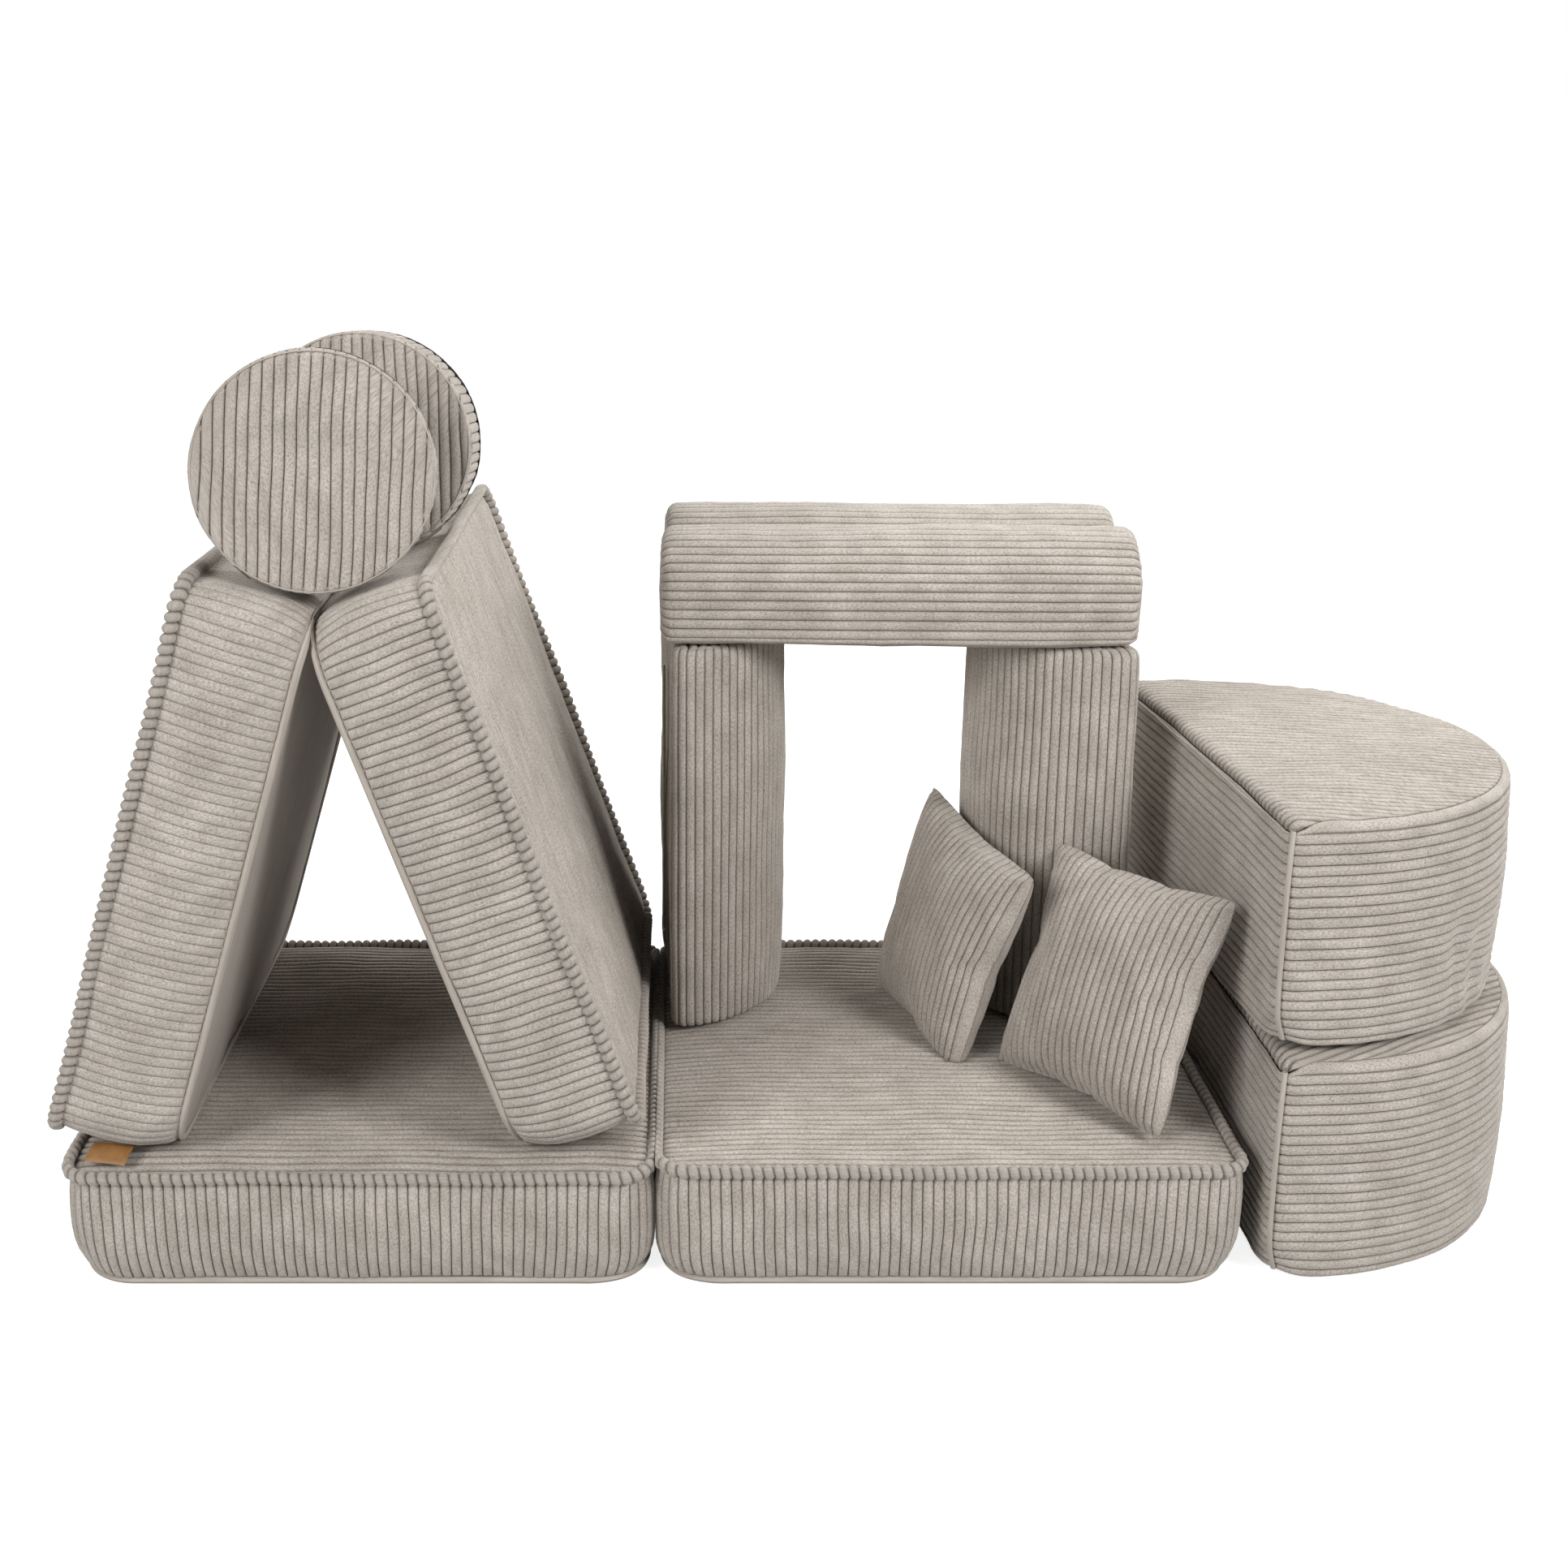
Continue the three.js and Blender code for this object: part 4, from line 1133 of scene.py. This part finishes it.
def add_pillow(module, turned, pressure, seed, aside, twist, taper):
    """A square pillow: a puffed bag whose wales run from its lower side to its upper one."""
    place = Place(module, turned)
    thickness = place.size[2]
    matrix = place.matrix() @ Matrix.Translation((0, 0, thickness / 2))
    centre = matrix.translation.copy()
    matrix = Matrix.Translation(centre + Vector(aside)) @ turn_z(twist) @ Matrix.Translation(-centre) @ matrix
    half = place.size[0] / 2 + PILLOW["wider"]
    back, front = pillow_panels(half, thickness, pressure, taper)
    stations, heights = wale_samples(int(round(2 * half / WALE)))
    along = along_samples(2 * half, PILLOW["cell"], PILLOW_NEAR_ENDS)
    from_ends = np.minimum(along, 1 - along)[:, None] * 2 * half
    from_sides = np.minimum(stations, 1 - stations)[None, :] * 2 * half
    fade = np.clip(np.minimum(from_ends, from_sides) / PILLOW["seam_fade"], 0, 1)
    heights = np.broadcast_to(heights, fade.shape)
    cloth = Cloth(seed)
    for panel, flip in ((front, False), (back, True)):
        grid = resample(panel, stations, along).transpose(1, 0, 2)
        cloth.add_relief(grid, grid_normals(grid, flip=flip) * fade[..., None], heights, flip=flip)
    piece = cloth.build(f"{module}_cover_cloth", matrix, CLOTHS)
    stand_flat(piece, matrix)
    dress_cover(piece, module, "fibre_fill")
    reach = PILLOW_ZIP["length"] / 4 / half
    shares = np.linspace(0.5 - reach, 0.5 + reach, PILLOW_ZIP["points"])
    level = (1 - PILLOW_ZIP["share"]) / 2
    row = resample(back, shares, np.array((level, level + 0.01)))
    tangent = np.gradient(row[:, 0], axis=0)
    normals = np.cross(row[:, 1] - row[:, 0], tangent)
    normals /= np.linalg.norm(normals, axis=1, keepdims=True)
    add_zip(module, matrix, row[:, 0] + normals * ZIP_LIFT, normals, seed + 7)


# Leather tag

TAG = {"thickness": 0.0014, "turn": -12, "tilt": 26, "wider": 0.004, "aside": 0.004, "bow": 0.002}


def add_tag():
    """The leather tag, whose back edge leans up against the mat behind it."""
    low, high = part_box("left_base_mat_tag")
    centre = (low + high) / 2
    flat = turn_z(TAG["turn"])
    inverse = flat.to_3x3().inverted()
    own = np.array([inverse @ (v.co - centre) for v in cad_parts["left_base_mat_tag"].data.vertices])
    half = own.max(0)
    width = 2 * (half[1] + TAG["wider"])
    across, along = POINTS["tag"]
    u, v = np.meshgrid(np.linspace(-1, 1, across), np.linspace(0, 1, along), indexing="ij")
    bow = TAG["bow"] * (4 * v * (1 - v) - u ** 2 * v)
    rise = TAG["thickness"] / 2
    edge = np.minimum((1 - np.abs(u)) * half[0], np.minimum(v, 1 - v) * width)
    roll = rounded_drop(edge, rise)
    cloth = Cloth(71)
    for side in (1, -1):
        cloth.add(np.stack((u * half[0], v * width, bow + side * (rise - roll)), -1), flip=side < 0)
    front = Matrix.Translation((TAG["aside"], -half[1], 0))
    matrix = Matrix.Translation(centre) @ flat @ front @ turn_x(TAG["tilt"])
    piece = cloth.build("left_base_mat_leather_tag", matrix, (LEATHER,))
    dress(piece, "left_base_mat", "leather", "left_base_mat_tag")


# The modules, each with its turns in degrees as in the photograph, and its seed

add_mats()
add_disc("front_disc", disc_turn(yaw=9, roll=3.5), 53)
add_disc("rear_disc", disc_turn(yaw=-4, roll=0), 59)
add_column("left_column", turn_z(3), 67)
add_column("right_column", turn_z(195), 73)
add_beam("front_beam", turn_z(-1.5), 79)
add_beam("rear_beam", turn_z(-1.5), 83)
add_half_moon("lower_half_moon", turn_z(1.8), 30, 97, LOWER_MOON_DENTS)
add_half_moon("upper_half_moon", turn_z(4.3), -12, 101, UPPER_MOON_DENTS)
add_pillow("rear_pillow", pillow_turn(-69, 75, -4), 9, 103, aside=(0.002, 0, -0.019), twist=-4, taper=0.1)
add_pillow("front_pillow", pillow_turn(-59, 68, 3), 10, 107, aside=(-0.01, 0, -0.001), twist=0, taper=0.02)
add_tag()


# Floor, light and camera

CAMERA = {"place": (-0.1763, -2.4851, 1.34), "pitch": 15, "focal": 2390, "middle": (837, 840.4)}
IMAGE = 1932
SENSOR = 36
CLIP_END = 100
FLOOR_REACH = 30
FLOOR_LEVEL = -0.0005
FLOOR_FINISH = {"Base Color": (0.6, 0.6, 0.6, 1), "Roughness": 0.9, "Specular IOR Level": 0.0}
FLOOR_FADE = {"From Min": 1.0, "From Max": 2.6, "To Min": 0.84, "To Max": 1.0}
WHITE = (1, 1, 1, 1)
SKY = (0.066, 0.066, 0.068, 1)

# Lamps: place, target, size in metres and power in watts
LAMPS = {
    "overhead": ((0.9, 0.3, 3.0), (0.4, 0, 0.4), 1.6, 40),
    "right_high": ((2.6, -2.8, 2.8), (0.2, 0, 0.5), 1.6, 109),
    "left_high": ((-2.8, -2.8, 2.6), (-0.2, 0, 0.5), 2.0, 92),
    "front_left": ((-2.8, -3.4, 1.5), (0, 0, 0.5), 2.4, 18),
    "right_side": ((3.6, -1.0, 1.8), (0.2, 0, 0.5), 1.6, 16),
    "rear_right": ((3.0, 2.6, 2.2), (0.2, 0, 0.5), 2.0, 50),
    "rear_left": ((-3.0, 2.6, 2.2), (-0.2, 0, 0.5), 2.0, 50),
}


def math_node(tree, operation, first, second):
    return add_node(tree, "ShaderNodeMath", {0: first, 1: second}, operation=operation).outputs[0]


def seen_ray(tree):
    """1 for the rays by which the floor and the sky are seen, straight or mirrored, and 0 for others."""
    path = add_node(tree, "ShaderNodeLightPath").outputs
    mirrored = math_node(tree, "MAXIMUM", path["Is Camera Ray"], path["Is Glossy Ray"])
    return math_node(tree, "MAXIMUM", mirrored, path["Is Transmission Ray"])


def add_floor():
    """A pale floor that keeps the shadow and shines white where it is seen, more so further away."""
    mesh = bpy.data.meshes.new("floor")
    corners = [(x * FLOOR_REACH, y * FLOOR_REACH, 0) for x, y in ((-1, -1), (1, -1), (1, 1), (-1, 1))]
    mesh.from_pydata(corners, [], [(0, 1, 2, 3)])
    floor = add_object("floor", mesh)
    floor.location.z = FLOOR_LEVEL
    material, tree, shader = node_tree("pale_floor")
    set_inputs(tree, shader, FLOOR_FINISH)
    away = add_node(tree, "ShaderNodeVectorMath", {0: object_place(tree)}, operation="LENGTH")
    brighter = add_node(tree, "ShaderNodeMapRange", {"Value": away.outputs["Value"], **FLOOR_FADE})
    strength = math_node(tree, "MULTIPLY", seen_ray(tree), brighter.outputs["Result"])
    glow = add_node(tree, "ShaderNodeEmission", {"Color": WHITE, "Strength": strength})
    both = add_node(tree, "ShaderNodeAddShader", {0: shader.outputs["BSDF"], 1: glow.outputs["Emission"]})
    set_inputs(tree, tree.nodes["Material Output"], {"Surface": both.outputs["Shader"]})
    mesh.materials.append(material)


def add_world():
    world = bpy.data.worlds.new("studio")
    bpy.context.scene.world = world
    world.use_nodes = True
    tree = world.node_tree
    tone = mix_colour(tree, seen_ray(tree), SKY, WHITE)
    set_inputs(tree, tree.nodes["Background"], {"Color": tone, "Strength": 1.0})


def add_lamp(name, place, target, size, power):
    light = bpy.data.lights.new(name, "AREA")
    light.shape = "DISK"
    light.size = size
    light.energy = power
    lamp = add_object(name, light)
    lamp.location = place
    lamp.rotation_euler = (Vector(target) - Vector(place)).to_track_quat("-Z", "Y").to_euler()


def add_camera():
    data = bpy.data.cameras.new("camera")
    data.sensor_width = SENSOR
    data.lens = CAMERA["focal"] / IMAGE * SENSOR
    data.shift_x = (IMAGE / 2 - CAMERA["middle"][0]) / IMAGE
    data.shift_y = (CAMERA["middle"][1] - IMAGE / 2) / IMAGE
    data.clip_end = CLIP_END
    camera = add_object("camera", data)
    camera.location = CAMERA["place"]
    camera.rotation_euler = (radians(90 - CAMERA["pitch"]), 0, 0)
    bpy.context.scene.camera = camera


add_floor()
add_world()
for name, lamp in LAMPS.items():
    add_lamp(name, *lamp)
add_camera()
bpy.context.scene.view_settings.view_transform = "Standard"
